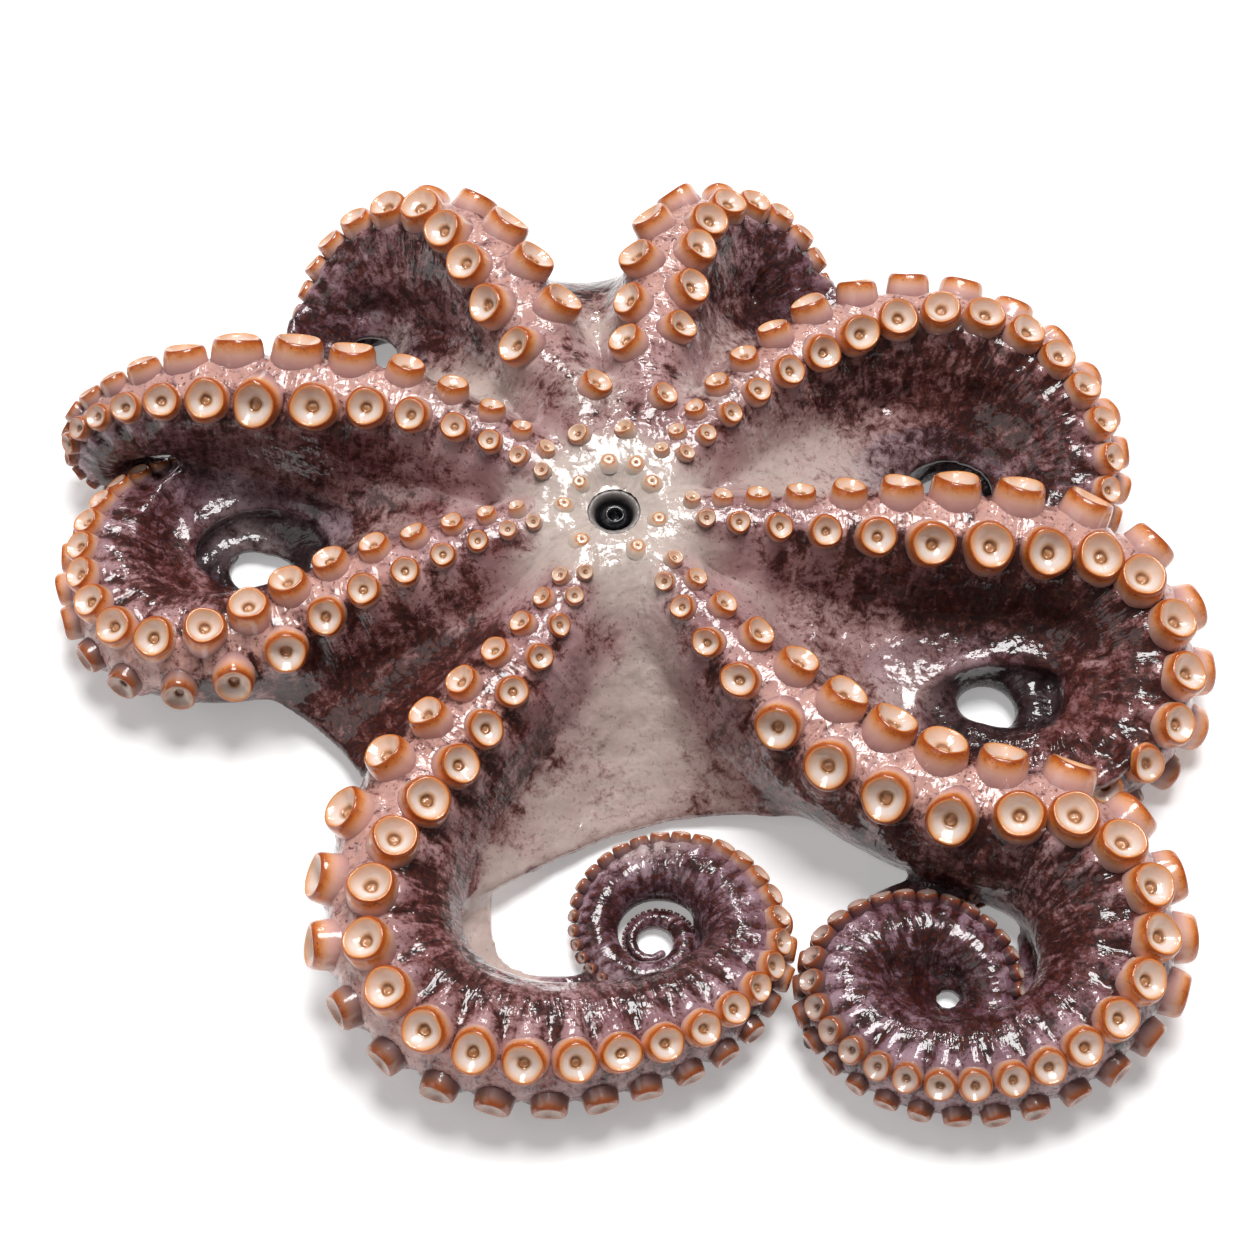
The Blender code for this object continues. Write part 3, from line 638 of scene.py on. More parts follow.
def part_the_front_web(where, points):
    """Counts the front web where it hangs over the left front coil as web, and not as part of the coil."""
    web = (where["arm"] == list(ARMS).index("front_left")) & (where["share"] > 0.5)
    web &= (points[:, 1] > WEB_BEHIND) & (where["above"] > 1.0)
    for what, value in WEB_STATE.items():
        where[what][web] = value


def vertex_array(mesh, what="co"):
    values = np.empty(len(mesh.vertices) * 3)
    if what == "co":
        mesh.vertices.foreach_get("co", values)
    else:
        mesh.vertex_normals.foreach_get("vector", values)
    return values.reshape(-1, 3)


def sucker_foot(s, side, diameter):
    """Where a sucker stands on a section of its arm, and the way it faces."""
    angle = math.asin(min(0.95, ROW_OFFSET * diameter / s["radius"])) * side
    out = Quaternion(s["way"], angle) @ s["face"]
    return s["middle"] + out * s["radius"], Quaternion(s["way"], angle * SPLAY) @ s["face"]


def cushions(points, places, arms):
    """How far the flesh stands up round the foot of each sucker, at each point of the skin."""
    tree = KDTree(len(points))
    for number, point in enumerate(points):
        tree.insert(point, number)
    tree.balance()
    raised = np.zeros(len(points))
    for name, stations in arms.items():
        for along, side, diameter in places[name]:
            if diameter < LEAST_CUSHIONED:
                continue
            foot, _ = sucker_foot(station_at(stations, along), side, diameter)
            for _, number, away in tree.find_range(foot, 0.92 * diameter):
                share = away / diameter
                ring = float(smoothstep(share, 0.3, 0.52) * (1.0 - smoothstep(share, 0.58, 0.92)))
                height = CUSHION * diameter * ring
                raised[number] = max(raised[number], height)
    return raised


def raise_ribs(skin, where, places, arms):
    """The flesh swells into a short column under each sucker, longest where the arm is coiled."""
    points, normals = vertex_array(skin.data), vertex_array(skin.data, "normal")
    rise, ribs = np.zeros(len(points)), np.zeros(len(points))
    for number, name in enumerate(ARMS):
        for side in (1, -1):
            row = [(along, diameter) for along, s, diameter in places[name] if s == side]
            alongs, diameters = np.array(row).T
            mine = (where["arm"] == number) & (where["angle"] * side > 0)
            along = where["along"][mine]
            turn = np.interp(along, alongs, np.arange(len(alongs)))
            size = np.interp(along, alongs, diameters)
            lean = np.abs(where["angle"][mine])
            coiled = smoothstep(along, 100.0, 170.0)
            uneven = 0.75 + 0.25 * np.sin(2.3 * np.round(turn) + 1.7 * number + side)
            ends = 1.0 + (0.15 * coiled + 0.1) * uneven
            near = smoothstep(lean, 0.2, 0.55) * (1.0 - smoothstep(lean, 0.75 * ends, 1.2 * ends))
            near *= 1.0 - smoothstep(where["above"][mine], 1.5, 5.0)
            near *= smoothstep(along, 12.0, 45.0)
            bead = np.cos(2.0 * math.pi * turn)
            rise[mine] = (0.06 + 0.03 * coiled) * size * near * bead
            ribs[mine] = near * bead
    cushion = cushions(points, places, arms)
    points += normals * (rise + cushion)[:, None]
    points[:, 2] = np.maximum(points[:, 2], 0.0)
    skin.data.vertices.foreach_set("co", points.ravel())
    skin.data.update()
    return ribs


def paint_zones(points, normals, where, ribs):
    """Shares of pale flesh, pigment, warmth and painted shade in the coils' hollows and over the hidden tail,
    for each point of the skin.
    """
    reach = from_mouth(points)
    lean = np.abs(where["angle"])
    webbed = smoothstep(where["above"], 1.0, 7.0) * (points[:, 2] > 4.0)
    under = smoothstep(-normals[:, 2], -0.1, 0.5)
    outer = smoothstep(where["along"], 30.0, 75.0)
    tip = smoothstep(where["share"], 0.62, 0.9)

    # Web is paler towards the mouth, and the arms darken down their sides.
    pale = webbed * (1.0 - smoothstep(reach, 75.0, 135.0)) * 0.5
    pigment = (0.3 + 0.5 * smoothstep(lean, 0.7, 1.25)) * outer
    for x, y, spread, patch_pale, patch_pigment in PATCHES:
        share = np.exp(-((points[:, 0] - x) ** 2 + (points[:, 1] - y) ** 2) / (0.8 * spread) ** 2)
        pale += (patch_pale - pale) * share
        pigment += (patch_pigment - pigment) * share

    # The disc round the mouth is pale, and less so where each arm mounds up from it.
    disc = 1.0 - smoothstep(reach, 22.0, 44.0)
    mound = (1.0 - smoothstep(lean, 0.5, 1.1)) * (1.0 - webbed) * smoothstep(reach, 21.0, 30.0)
    pale = np.maximum(pale, disc * (1.0 - 0.75 * mound))
    pigment *= 1.0 - disc * (1.0 - mound)
    pigment = np.maximum(pigment, 0.42 * mound * (1.0 - outer))

    # The crests that carry the suckers are cleaner; backs, undersides and ends are dark.
    crest = 1.0 - smoothstep(lean, 0.45, 0.95)
    pigment *= 1.0 - 0.38 * crest * outer
    pale *= 1.0 - 0.6 * crest * outer
    pale *= 1.0 - under
    pigment = np.maximum(pigment, 0.75 * smoothstep(lean, 1.9, 2.5) * (1.0 - webbed))
    pigment = np.maximum(pigment, under * 0.9)
    pigment = np.maximum(pigment, tip * 0.5)
    pigment -= 0.4 * ribs

    # The thin folds along the arms have tones of their own.
    for number, (name, arm) in enumerate(ARMS.items()):
        begin, end, _ = arm["fold"]
        membrane = (where["arm"] == number) & (where["along"] > begin) & (where["along"] < end)
        membrane = membrane * smoothstep(where["above"], 0.5, 2.5) * (points[:, 2] < 14.0) * (reach > 100.0)
        fold_pale, fold_pigment = FOLD_TONES.get(name, (0.3, 0.4))
        pale += (fold_pale - pale) * membrane
        pigment += (fold_pigment - pigment) * membrane

    # Warm flesh shows on the crests up to the coils; the holes of the coils and the tail hidden under the web
    # get painted shade.
    tail = (where["arm"] == list(ARMS).index(TAIL_ARM)) * smoothstep(where["share"], 0.6, 0.68)
    coiled = smoothstep(where["along"], 130.0, 220.0)
    warm = crest * outer * (1.0 - tip) * (1.0 - webbed) * (1.0 - 0.7 * coiled)
    # On the coils the crest between the rows is darker: partly maroon flesh, partly painted shade under the
    # rows of suckers.
    pigment = np.maximum(pigment, 0.55 * coiled * (1.0 - smoothstep(lean, 0.15, 0.4)))
    hollow_shade = np.zeros(len(points))
    for centre, radii, height, _ in FUNNELS:
        oval = hole_radii_away(points, centre, [radius + HOLLOW_SHADE_RIM for radius in radii])
        low = 1.0 - smoothstep(points[:, 2], height - 3.0, height + 3.0)
        hollow_shade = np.maximum(hollow_shade, (1.0 - smoothstep(oval, 0.9, 1.15)) * low)
    hollow_shade = np.maximum(hollow_shade, 0.6 * tail) * (1.0 - pale)
    return np.column_stack([np.clip(pale, 0, 1), np.clip(pigment, 0, 1), warm, hollow_shade])


def store(mesh, name, kind, values):
    made = mesh.attributes.new(name, kind, "POINT")
    field = {"FLOAT": "value", "FLOAT_VECTOR": "vector", "FLOAT_COLOR": "color"}[kind]
    made.data.foreach_set(field, np.asarray(values, dtype=np.float32).ravel())


def finish_skin(mesh, where, ribs, in_place):
    """Stores the zones and the along-and-around directions that the skin's finish follows."""
    points, normals = vertex_array(mesh), vertex_array(mesh, "normal")
    zones = paint_zones(points, normals, where, ribs)
    store(mesh, "zones", "FLOAT_COLOR", zones)
    round_arm = where["angle"] * where["radius"]
    store(mesh, "lie", "FLOAT_VECTOR", np.column_stack([where["along"], round_arm, where["arm"] * 37.0]))
    own = 1.0 - smoothstep(where["above"], 0.0, 3.5)
    store(mesh, "own", "FLOAT", own * smoothstep(where["along"], 15.0, 45.0))
    store(mesh, "curled", "FLOAT", smoothstep(where["share"], 0.4, 0.7))
    mesh.transform(in_place)
    mesh.polygons.foreach_set("use_smooth", [True] * len(mesh.polygons))


def open_the_mouth(mesh):
    """Sinks the skin in a bowl round the mouth and cuts a clean round opening at its bottom."""
    bottom, brim, depth = BOWL
    points = vertex_array(mesh)
    reach = from_mouth(points)
    bowl = MOUTH.z - 0.1 - depth * (1.0 - smoothstep(reach, bottom, brim))
    share = (1.0 - smoothstep(reach, brim - 2.0, brim + 4.0)) * (points[:, 2] > MOUND_FROM)
    points[:, 2] += (bowl - points[:, 2]) * share
    mesh.vertices.foreach_set("co", points.ravel())
    shape = bmesh.new()
    shape.from_mesh(mesh)
    middle = Vector((MOUTH.x, MOUTH.y))
    top = [v for v in shape.verts if v.co.z > MOUND_FROM and (v.co.xy - middle).length < OPENING]
    bmesh.ops.delete(shape, geom=top, context="VERTS")
    for v in shape.verts:
        if v.is_boundary:
            v.co.xy = middle + (v.co.xy - middle).normalized() * OPENING
    shape.to_mesh(mesh)
    shape.free()


def slender_ends(arms, collection):
    """The thin ends of the arms, as true round tubes, because the skin's grid is too coarse for them."""
    made = []
    for name, stations in arms.items():
        thin = [s for s in stations if s["radius"] < SLENDER]
        if len(thin) < 3:
            continue
        line, radii = [], []
        for k, s in enumerate(thin):
            line.append(s["middle"])
            radii.append(s["radius"] * (0.85 + 0.17 * min(1.0, k / 3)))
        last = stations[-1]
        for share in (0.5, 0.8, 0.97):
            line.append(last["middle"] + last["way"] * last["radius"] * share)
            radii.append(last["radius"] * math.sqrt(1.0 - share * share))
        made.append(tube(f"end_{name}", line, radii, collection))
    return made


# Suckers.

# A sucker turned round its axis, as (radius, height, place from stalk 0 to hole 1), one diameter wide.
CUP = [
    (0.63, -0.36, 0.00), (0.605, -0.18, 0.10), (0.585, 0.00, 0.20), (0.57, 0.15, 0.30),
    (0.558, 0.27, 0.38), (0.545, 0.36, 0.44), (0.524, 0.425, 0.50), (0.497, 0.468, 0.56),
    (0.476, 0.490, 0.60), (0.452, 0.496, 0.635), (0.424, 0.480, 0.67), (0.383, 0.440, 0.72),
    (0.31, 0.375, 0.79), (0.235, 0.325, 0.85), (0.165, 0.295, 0.90), (0.132, 0.280, 0.93),
    (0.116, 0.235, 0.95), (0.104, 0.20, 0.97), (0.05, 0.215, 0.99),
]
BEAD = [
    (0.58, -0.35, 0.00), (0.50, -0.05, 0.24), (0.485, 0.16, 0.42), (0.49, 0.30, 0.54),
    (0.44, 0.40, 0.64), (0.30, 0.33, 0.80), (0.13, 0.24, 0.92), (0.08, 0.16, 0.97),
]
NUB = [
    (0.85, -0.30, 0.00), (0.68, -0.08, 0.16), (0.54, 0.06, 0.32), (0.42, 0.15, 0.48), (0.30, 0.20, 0.62),
    (0.17, 0.21, 0.80), (0.10, 0.18, 0.90), (0.06, 0.10, 0.97),
]


def loosened(row, until):
    """Only each third sucker, but larger, as far along the arm as its rows are a loose zigzag."""
    kept = []
    for number, (along, side, diameter) in enumerate(row):
        if along > until or number == 0:
            kept.append((along, side, diameter))
        elif number % 3 == 0:
            kept.append((along, side, diameter * LOOSE_GROWTH))
    return kept


def sucker_mesh(name, round_mouth, stations, row, chance):
    """Both rows of an arm's suckers as one mesh with a finish of its own for each."""
    points, faces, spots, far = [], [], [], []
    length = stations[-1]["along"]
    for along, side, diameter in row:
        if FIRST_SUCKER < along < FIRST_PAIR:
            continue
        s = station_at(stations, along)
        foot, axis = sucker_foot(s, side, diameter)
        tilt = Vector([chance.gauss(0.0, 0.06) for _ in range(3)])
        if along <= FIRST_SUCKER:
            beside = np.hypot(round_mouth[:, 0] - foot.x, round_mouth[:, 1] - foot.y) < NUB_DIAMETER / 2
            foot.z = float(round_mouth[beside, 2].mean())
            axis = Vector((0.0, 0.0, 1.0))
        turned = (axis + tilt).normalized().to_track_quat("Z", "X")
        if along <= FIRST_SUCKER:
            outline, sides, diameter = NUB, 24, NUB_DIAMETER
        elif diameter > WIDE_CUP:
            outline, sides = CUP, 28
        elif diameter > SMALL_CUP:
            outline, sides = CUP, 18
        else:
            outline, sides = BEAD, 11
        wide = 1.0 + chance.gauss(0.0, 0.03)
        tone = chance.random()
        turned_down = (1.0 - smoothstep(axis.z, 0.0, 0.5)) * smoothstep(-axis.y, 0.2, 0.6)
        # Suckers turned down at the front take part of the ends' dark finish as painted shade.
        end = max(float(smoothstep(along / length, 0.55, 0.85)), TURNED_SHADED * float(turned_down))
        diameter *= 1.0 - TURNED_SMALLER * float(turned_down)
        young = 1.0 - float(smoothstep(along, 6.0, 30.0))
        first = len(points)
        start = chance.uniform(0.0, math.tau)
        wave = [chance.uniform(0.0, math.tau) for _ in range(2)]
        for radius, height, place in outline:
            lift = float(smoothstep(height, 0.0, 0.4))
            for k in range(sides):
                turn = start + math.tau * k / sides
                ripple = 1.0 + 0.02 * math.sin(3 * turn + wave[0]) + 0.012 * math.sin(5 * turn + wave[1])
                x = radius * ripple * wide * math.cos(turn)
                y = radius * ripple / wide * math.sin(turn)
                spot = Vector((x, y, height + 0.02 * lift * math.sin(2 * turn + wave[1])))
                point = foot + turned @ (spot * diameter)
                # How far back the point lies round the cup; the finish paints a backlit peach glow on the far
                # wall with it.
                far.append(0.5 + 0.5 * (turned @ Vector((math.cos(turn), math.sin(turn), 0.0))).y)
                points.append(Vector((point.x, point.y, max(point.z, 0.1))))
                spots.append((place, tone, end, young))
        points.append(foot + turned @ (Vector((0, 0, outline[-1][1])) * diameter))
        spots.append((1.0, tone, end, young))
        far.append(0.5)
        for j in range(len(outline) - 1):
            for k in range(sides):
                a, b = first + j * sides + k, first + j * sides + (k + 1) % sides
                faces.append((a, b, b + sides, a + sides))
        ring = first + (len(outline) - 1) * sides
        faces += [(ring + k, ring + (k + 1) % sides, ring + sides) for k in range(sides)]
    mesh = bpy.data.meshes.new(f"suckers_{name}")
    mesh.from_pydata(points, [], faces)
    store(mesh, "cup", "FLOAT_COLOR", spots)
    store(mesh, "far", "FLOAT", far)
    return mesh


# Finishes.

def srgb(code):
    """A linear colour from an sRGB hex value."""
    parts = [int(code[k:k + 2], 16) / 255 for k in (1, 3, 5)]
    return (*[p / 12.92 if p <= 0.04045 else ((p + 0.055) / 1.055) ** 2.4 for p in parts], 1.0)


# The kinds of node that the finishes use, each with its settings and the number of its output. The two
# colours of a mix are its sockets 6 and 7.
MIX = dict(kind="ShaderNodeMix", data_type="RGBA", out=2)
TIMES = dict(kind="ShaderNodeMath", operation="MULTIPLY")
PLUS = dict(kind="ShaderNodeMath", operation="ADD")
MINUS = dict(kind="ShaderNodeMath", operation="SUBTRACT")
EDGE = dict(kind="ShaderNodeMapRange", interpolation_type="SMOOTHSTEP")
NOISE = dict(kind="ShaderNodeTexNoise")
RAMP = dict(kind="ShaderNodeValToRGB")
BUMP = dict(kind="ShaderNodeBump")
PLACED = dict(kind="ShaderNodeMapping")
WHERE = dict(kind="ShaderNodeTexCoord", out=3)
PARTS = dict(kind="ShaderNodeSeparateColor")

# Patterns are sized in millimetres.
MM_PER_METRE = (1000.0, 1000.0, 1000.0)


def add(tree, what, sockets, ramp=()):
    """Adds a node with its settings, socket values, links and ramp, and gives its output."""
    settings = dict(what)
    made = tree.nodes.new(settings.pop("kind"))
    out = settings.pop("out", 0)
    for name, value in settings.items():
        setattr(made, name, value)
    for name, given in sockets.items():
        if isinstance(given, bpy.types.NodeSocket):
            tree.links.new(given, made.inputs[name])
        else:
            made.inputs[name].default_value = srgb(given) if isinstance(given, str) else given
    for number, (place, code) in enumerate(ramp):
        stops = made.color_ramp.elements
        stop = stops[number] if number < 2 else stops.new(place)
        stop.position, stop.color = place, srgb(code)
    return made.outputs[out]


def new_material(name, values):
    made = bpy.data.materials.new(name)
    made.use_nodes = True
    surface = made.node_tree.nodes["Principled BSDF"]
    for socket, value in values.items():
        surface.inputs[socket].default_value = value
    return made, made.node_tree, surface


def cooked_skin():
    """Boiled octopus skin: translucent flesh under a thin wet pigmented film, creased as it shrank.

    It gives the eye cream to mauve flesh, maroon blotches and freckles, small sharp wet lights, and painted
    shade in the coils' hollows and over the hidden tail."""
    made, tree, surface = new_material("boiled_wet_skin", {
        "Roughness": 0.45, "IOR": 1.38, "Specular IOR Level": 0.25,
        "Coat Weight": 1.0, "Coat Roughness": 0.04, "Coat IOR": 1.5,
        "Subsurface Weight": 0.1, "Subsurface Scale": 0.004,
    })
    zones = add(tree, dict(kind="ShaderNodeAttribute", attribute_name="zones"), {}).node
    lie = add(tree, dict(kind="ShaderNodeAttribute", attribute_name="lie", out=1), {})
    on_arm = add(tree, dict(kind="ShaderNodeAttribute", attribute_name="own", out=2), {})
    coil = add(tree, dict(kind="ShaderNodeAttribute", attribute_name="curled", out=2), {})
    pale, pigment, warm = add(tree, PARTS, {0: zones.outputs["Color"]}).node.outputs
    hollow_shade = zones.outputs["Alpha"]
    place = add(tree, WHERE, {})
    mm = add(tree, PLACED, {"Vector": place, "Scale": MM_PER_METRE})
    crosswise = add(tree, PLACED, {"Vector": lie, "Scale": (1.0, 0.22, 1.0)})

    # Streaks that fan out from the mouth: the direction from it, spread out, with the reach squeezed.
    away = add(tree, dict(kind="ShaderNodeVectorMath", operation="SUBTRACT"), {
        0: place, 1: (mouth.x, mouth.y, 0.0)})
    flat = add(tree, dict(kind="ShaderNodeVectorMath", operation="MULTIPLY"), {0: away, 1: (1.0, 1.0, 0.0)})
    heading = add(tree, dict(kind="ShaderNodeVectorMath", operation="NORMALIZE"), {0: flat})
    metres = add(tree, dict(kind="ShaderNodeVectorMath", operation="LENGTH", out=1), {0: flat})
    reach = add(tree, TIMES, {0: metres, 1: 1000.0 / 22.0})
    wide = add(tree, dict(kind="ShaderNodeVectorMath", operation="SCALE"), {0: heading, "Scale": 8.0})
    lifted = add(tree, dict(kind="ShaderNodeCombineXYZ"), {"Z": reach})
    fan = add(tree, dict(kind="ShaderNodeVectorMath", operation="ADD"), {0: wide, 1: lifted})

    clouds = add(tree, NOISE, {"Vector": mm, "Scale": 1 / 16, "Detail": 3.0, "Roughness": 0.55})
    swells = add(tree, NOISE, {"Vector": mm, "Scale": 1 / 7, "Detail": 2.0, "Roughness": 0.4})
    blotches = add(tree, NOISE, {"Vector": mm, "Scale": 1 / 5, "Detail": 10.0, "Roughness": 0.76,
                                 "Distortion": 0.4})
    freckles = add(tree, NOISE, {"Vector": mm, "Scale": 1 / 1.5, "Detail": 3.0, "Roughness": 0.6})
    streaks = add(tree, NOISE, {"Vector": fan, "Scale": 1.0, "Detail": 7.0, "Roughness": 0.62,
                                "Distortion": 0.35})
    creases = add(tree, NOISE, {"Vector": crosswise, "Scale": 1 / 2.4, "Detail": 2.0, "Roughness": 0.5,
                                "Distortion": 0.5})
    fine = add(tree, NOISE, {"Vector": mm, "Scale": 1 / 1.6, "Detail": 2.0, "Roughness": 0.5})

    cloudy = add(tree, EDGE, {"Value": clouds, "From Min": 0.35, "From Max": 0.65})
    flesh = add(tree, MIX, {0: cloudy, 6: "#94686A", 7: "#BC9596"})
    purple = add(tree, MIX, {0: cloudy, 6: "#755460", 7: "#A68894"})
    flesh = add(tree, MIX, {0: coil, 6: flesh, 7: purple})
    flesh = add(tree, MIX, {0: add(tree, TIMES, {0: warm, 1: 0.85}), 6: flesh, 7: "#D2A296"})
    veil = add(tree, EDGE, {"Value": creases, "From Min": 0.5, "From Max": 0.7})
    veil = add(tree, TIMES, {0: add(tree, TIMES, {0: veil, 1: on_arm}), 1: 0.35})
    flesh = add(tree, MIX, {0: veil, 6: flesh, 7: "#BBA0A8"})
    streaked = add(tree, EDGE, {"Value": streaks, "From Min": 0.22, "From Max": 0.8})
    cream = add(tree, MIX, {0: streaked, 6: "#BEABA1", 7: "#D3C3BB"})
    skin = add(tree, MIX, {0: pale, 6: flesh, 7: cream})

    # Blotches spread as the pigment grows: the noise passes an edge that the pigment's share lowers.
    mottle = add(tree, PLUS, {
        0: add(tree, TIMES, {0: blotches, 1: 0.7}), 1: add(tree, TIMES, {0: streaks, 1: 0.3})})
    mottle = add(tree, dict(kind="ShaderNodeMapRange", clamp=False), {
        "Value": mottle, "From Min": 0.33, "From Max": 0.67})
    across = add(tree, TIMES, {
        0: add(tree, MINUS, {0: creases, 1: 0.5}), 1: add(tree, TIMES, {0: on_arm, 1: 0.9})})
    mottle = add(tree, PLUS, {0: mottle, 1: across})
    spread = add(tree, PLUS, {0: mottle, 1: add(tree, TIMES, {0: pigment, 1: 0.72})})
    film = add(tree, EDGE, {"Value": spread, "From Min": 0.62, "From Max": 1.12})
    thick = add(tree, EDGE, {"Value": spread, "From Min": 0.9, "From Max": 1.2})
    maroon = add(tree, MIX, {0: coil, 6: "#6A302B", 7: "#562E36"})
    skin = add(tree, MIX, {0: add(tree, TIMES, {0: film, 1: 0.85}), 6: skin, 7: maroon})
    skin = add(tree, MIX, {0: add(tree, TIMES, {0: thick, 1: 0.93}), 6: skin, 7: "#2A0F0D"})
    dots = add(tree, PLUS, {0: freckles, 1: add(tree, TIMES, {0: pigment, 1: 0.12})})
    dots = add(tree, EDGE, {"Value": dots, "From Min": 0.61, "From Max": 0.68})
    dots = add(tree, TIMES, {0: dots, 1: add(tree, MINUS, {0: 1.0, 1: add(tree, TIMES, {0: pale, 1: 0.8})})})
    skin = add(tree, MIX, {0: add(tree, TIMES, {0: dots, 1: 0.75}), 6: skin, 7: "#542318"})
    # Painted shade: near black in the coils' hollows and over the hidden tail.
    skin = add(tree, MIX, {0: add(tree, TIMES, {0: hollow_shade, 1: 0.85}), 6: skin, 7: "#1B1013"})
    tree.links.new(skin, surface.inputs["Base Color"])

    # Creases 2 mm apart stand tenths of a millimetre high across each arm, over softer swells.
    height = add(tree, TIMES, {0: add(tree, TIMES, {0: creases, 1: on_arm}), 1: 0.5})
    for relief, share in ((fine, 0.16), (streaks, 0.1), (swells, 1.3)):
        height = add(tree, PLUS, {0: height, 1: add(tree, TIMES, {0: relief, 1: share})})
    bump = add(tree, BUMP, {"Strength": 1.0, "Distance": 0.001, "Height": height})
    tree.links.new(bump, surface.inputs["Normal"])
    tree.links.new(bump, surface.inputs["Coat Normal"])
    return made


def cooked_sucker():
    """Boiled sucker: firm white muscle in a cup, its rim edged by an orange-brown horny band.

    It gives the eye peach stalks, freckled orange rims, pearly cups and a tan hole, with a painted backlit
    glow on the far wall inside each cup and painted shade on the suckers turned down at the front."""
    made, tree, surface = new_material("boiled_sucker_muscle", {
        "Roughness": 0.4, "IOR": 1.4, "Coat Weight": 1.0, "Coat Roughness": 0.05, "Coat IOR": 1.48,
        "Subsurface Weight": 0.25, "Subsurface Scale": 0.003,
    })
    cup = add(tree, dict(kind="ShaderNodeAttribute", attribute_name="cup"), {}).node
    far = add(tree, dict(kind="ShaderNodeAttribute", attribute_name="far", out=2), {})
    spot, tone, end = add(tree, PARTS, {0: cup.outputs["Color"]}).node.outputs
    young = cup.outputs["Alpha"]
    mm = add(tree, PLACED, {"Vector": add(tree, WHERE, {}), "Scale": MM_PER_METRE})
    clouds = add(tree, NOISE, {"Vector": mm, "Scale": 1 / 3.0, "Detail": 4.0})
    grains = add(tree, NOISE, {"Vector": mm, "Scale": 1 / 0.9, "Detail": 3.0, "Roughness": 0.6})

    shift = add(tree, TIMES, {0: add(tree, MINUS, {0: clouds, 1: 0.5}), 1: 0.05})
    wobble = add(tree, PLUS, {0: spot, 1: shift})
    full = add(tree, RAMP, {"Fac": wobble}, [
        (0.0, "#7E5357"), (0.13, "#A87C7A"), (0.22, "#C99A92"), (0.31, "#DDAC9A"), (0.38, "#E2A680"),
        (0.44, "#DC8A48"), (0.49, "#C76820"), (0.55, "#A84C12"), (0.595, "#A2480F"), (0.625, "#D47E34"),
        (0.66, "#E2A06A"), (0.71, "#E6BC9C"), (0.77, "#EAD4C8"), (0.86, "#EBDAD2"), (0.90, "#CFA074"),
        (0.93, "#5F311C"), (0.955, "#B5784A"), (1.0, "#C48A5E")])
    small = add(tree, RAMP, {"Fac": wobble}, [
        (0.0, "#2E1A1D"), (0.3, "#5B3A3E"), (0.44, "#7A4234"), (0.52, "#8E4A28"), (0.60, "#8E5E46"),
        (0.68, "#A98A80"), (0.85, "#BCA298"), (1.0, "#4A2A22")])
    first = add(tree, RAMP, {"Fac": wobble}, [
        (0.0, "#CDBFB6"), (0.2, "#D8C0B0"), (0.42, "#DBB49A"), (0.53, "#D0905C"), (0.60, "#D9A67E"),
        (0.66, "#E8D2C0"), (0.86, "#DEBFA2"), (0.93, "#9A5628"), (1.0, "#7A3C18")])
    colour = add(tree, MIX, {0: young, 6: full, 7: first})

    # Painted light: inside the cup the wall farther back is painted peach, as if lit through from behind, and
    # the nearer one stays white.
    inside = add(tree, EDGE, {"Value": spot, "From Min": 0.66, "From Max": 0.74})
    behind = add(tree, EDGE, {"Value": far, "From Min": 0.25, "From Max": 0.8})
    painted_glow = add(tree, TIMES, {0: inside, 1: behind})
    painted_glow = add(tree, TIMES, {0: painted_glow, 1: add(tree, PLUS, {0: add(tree, TIMES, {0: tone, 1: 0.4}), 1: 0.45})})
    colour = add(tree, MIX, {0: add(tree, TIMES, {0: painted_glow, 1: 0.7}), 6: colour, 7: "#E3AC86"})
    # The ends' dark finish, which the suckers turned down at the front also take in part as painted shade.
    colour = add(tree, MIX, {0: end, 6: colour, 7: small})
    band = add(tree, EDGE, {"Value": spot, "From Min": 0.34, "From Max": 0.5})
    within = add(tree, EDGE, {"Value": spot, "From Min": 0.55, "From Max": 0.6})
    outside = add(tree, MINUS, {0: 1.0, 1: within})
    grainy = add(tree, EDGE, {"Value": grains, "From Min": 0.58, "From Max": 0.66})
    patchy = add(tree, EDGE, {"Value": clouds, "From Min": 0.42, "From Max": 0.68})
    orange = add(tree, TIMES, {0: band, 1: outside})
    rim = add(tree, TIMES, {0: orange, 1: patchy})
    colour = add(tree, MIX, {0: add(tree, TIMES, {0: rim, 1: 0.5}), 6: colour, 7: "#A8501A"})
    spots = add(tree, TIMES, {0: orange, 1: grainy})
    colour = add(tree, MIX, {0: add(tree, TIMES, {0: spots, 1: 0.7}), 6: colour, 7: "#6A2A12"})
    tree.links.new(colour, surface.inputs["Base Color"])
    bump = add(tree, BUMP, {"Strength": 0.5, "Distance": 0.0004, "Height": clouds})
    tree.links.new(bump, surface.inputs["Normal"])
    tree.links.new(bump, surface.inputs["Coat Normal"])
    return made


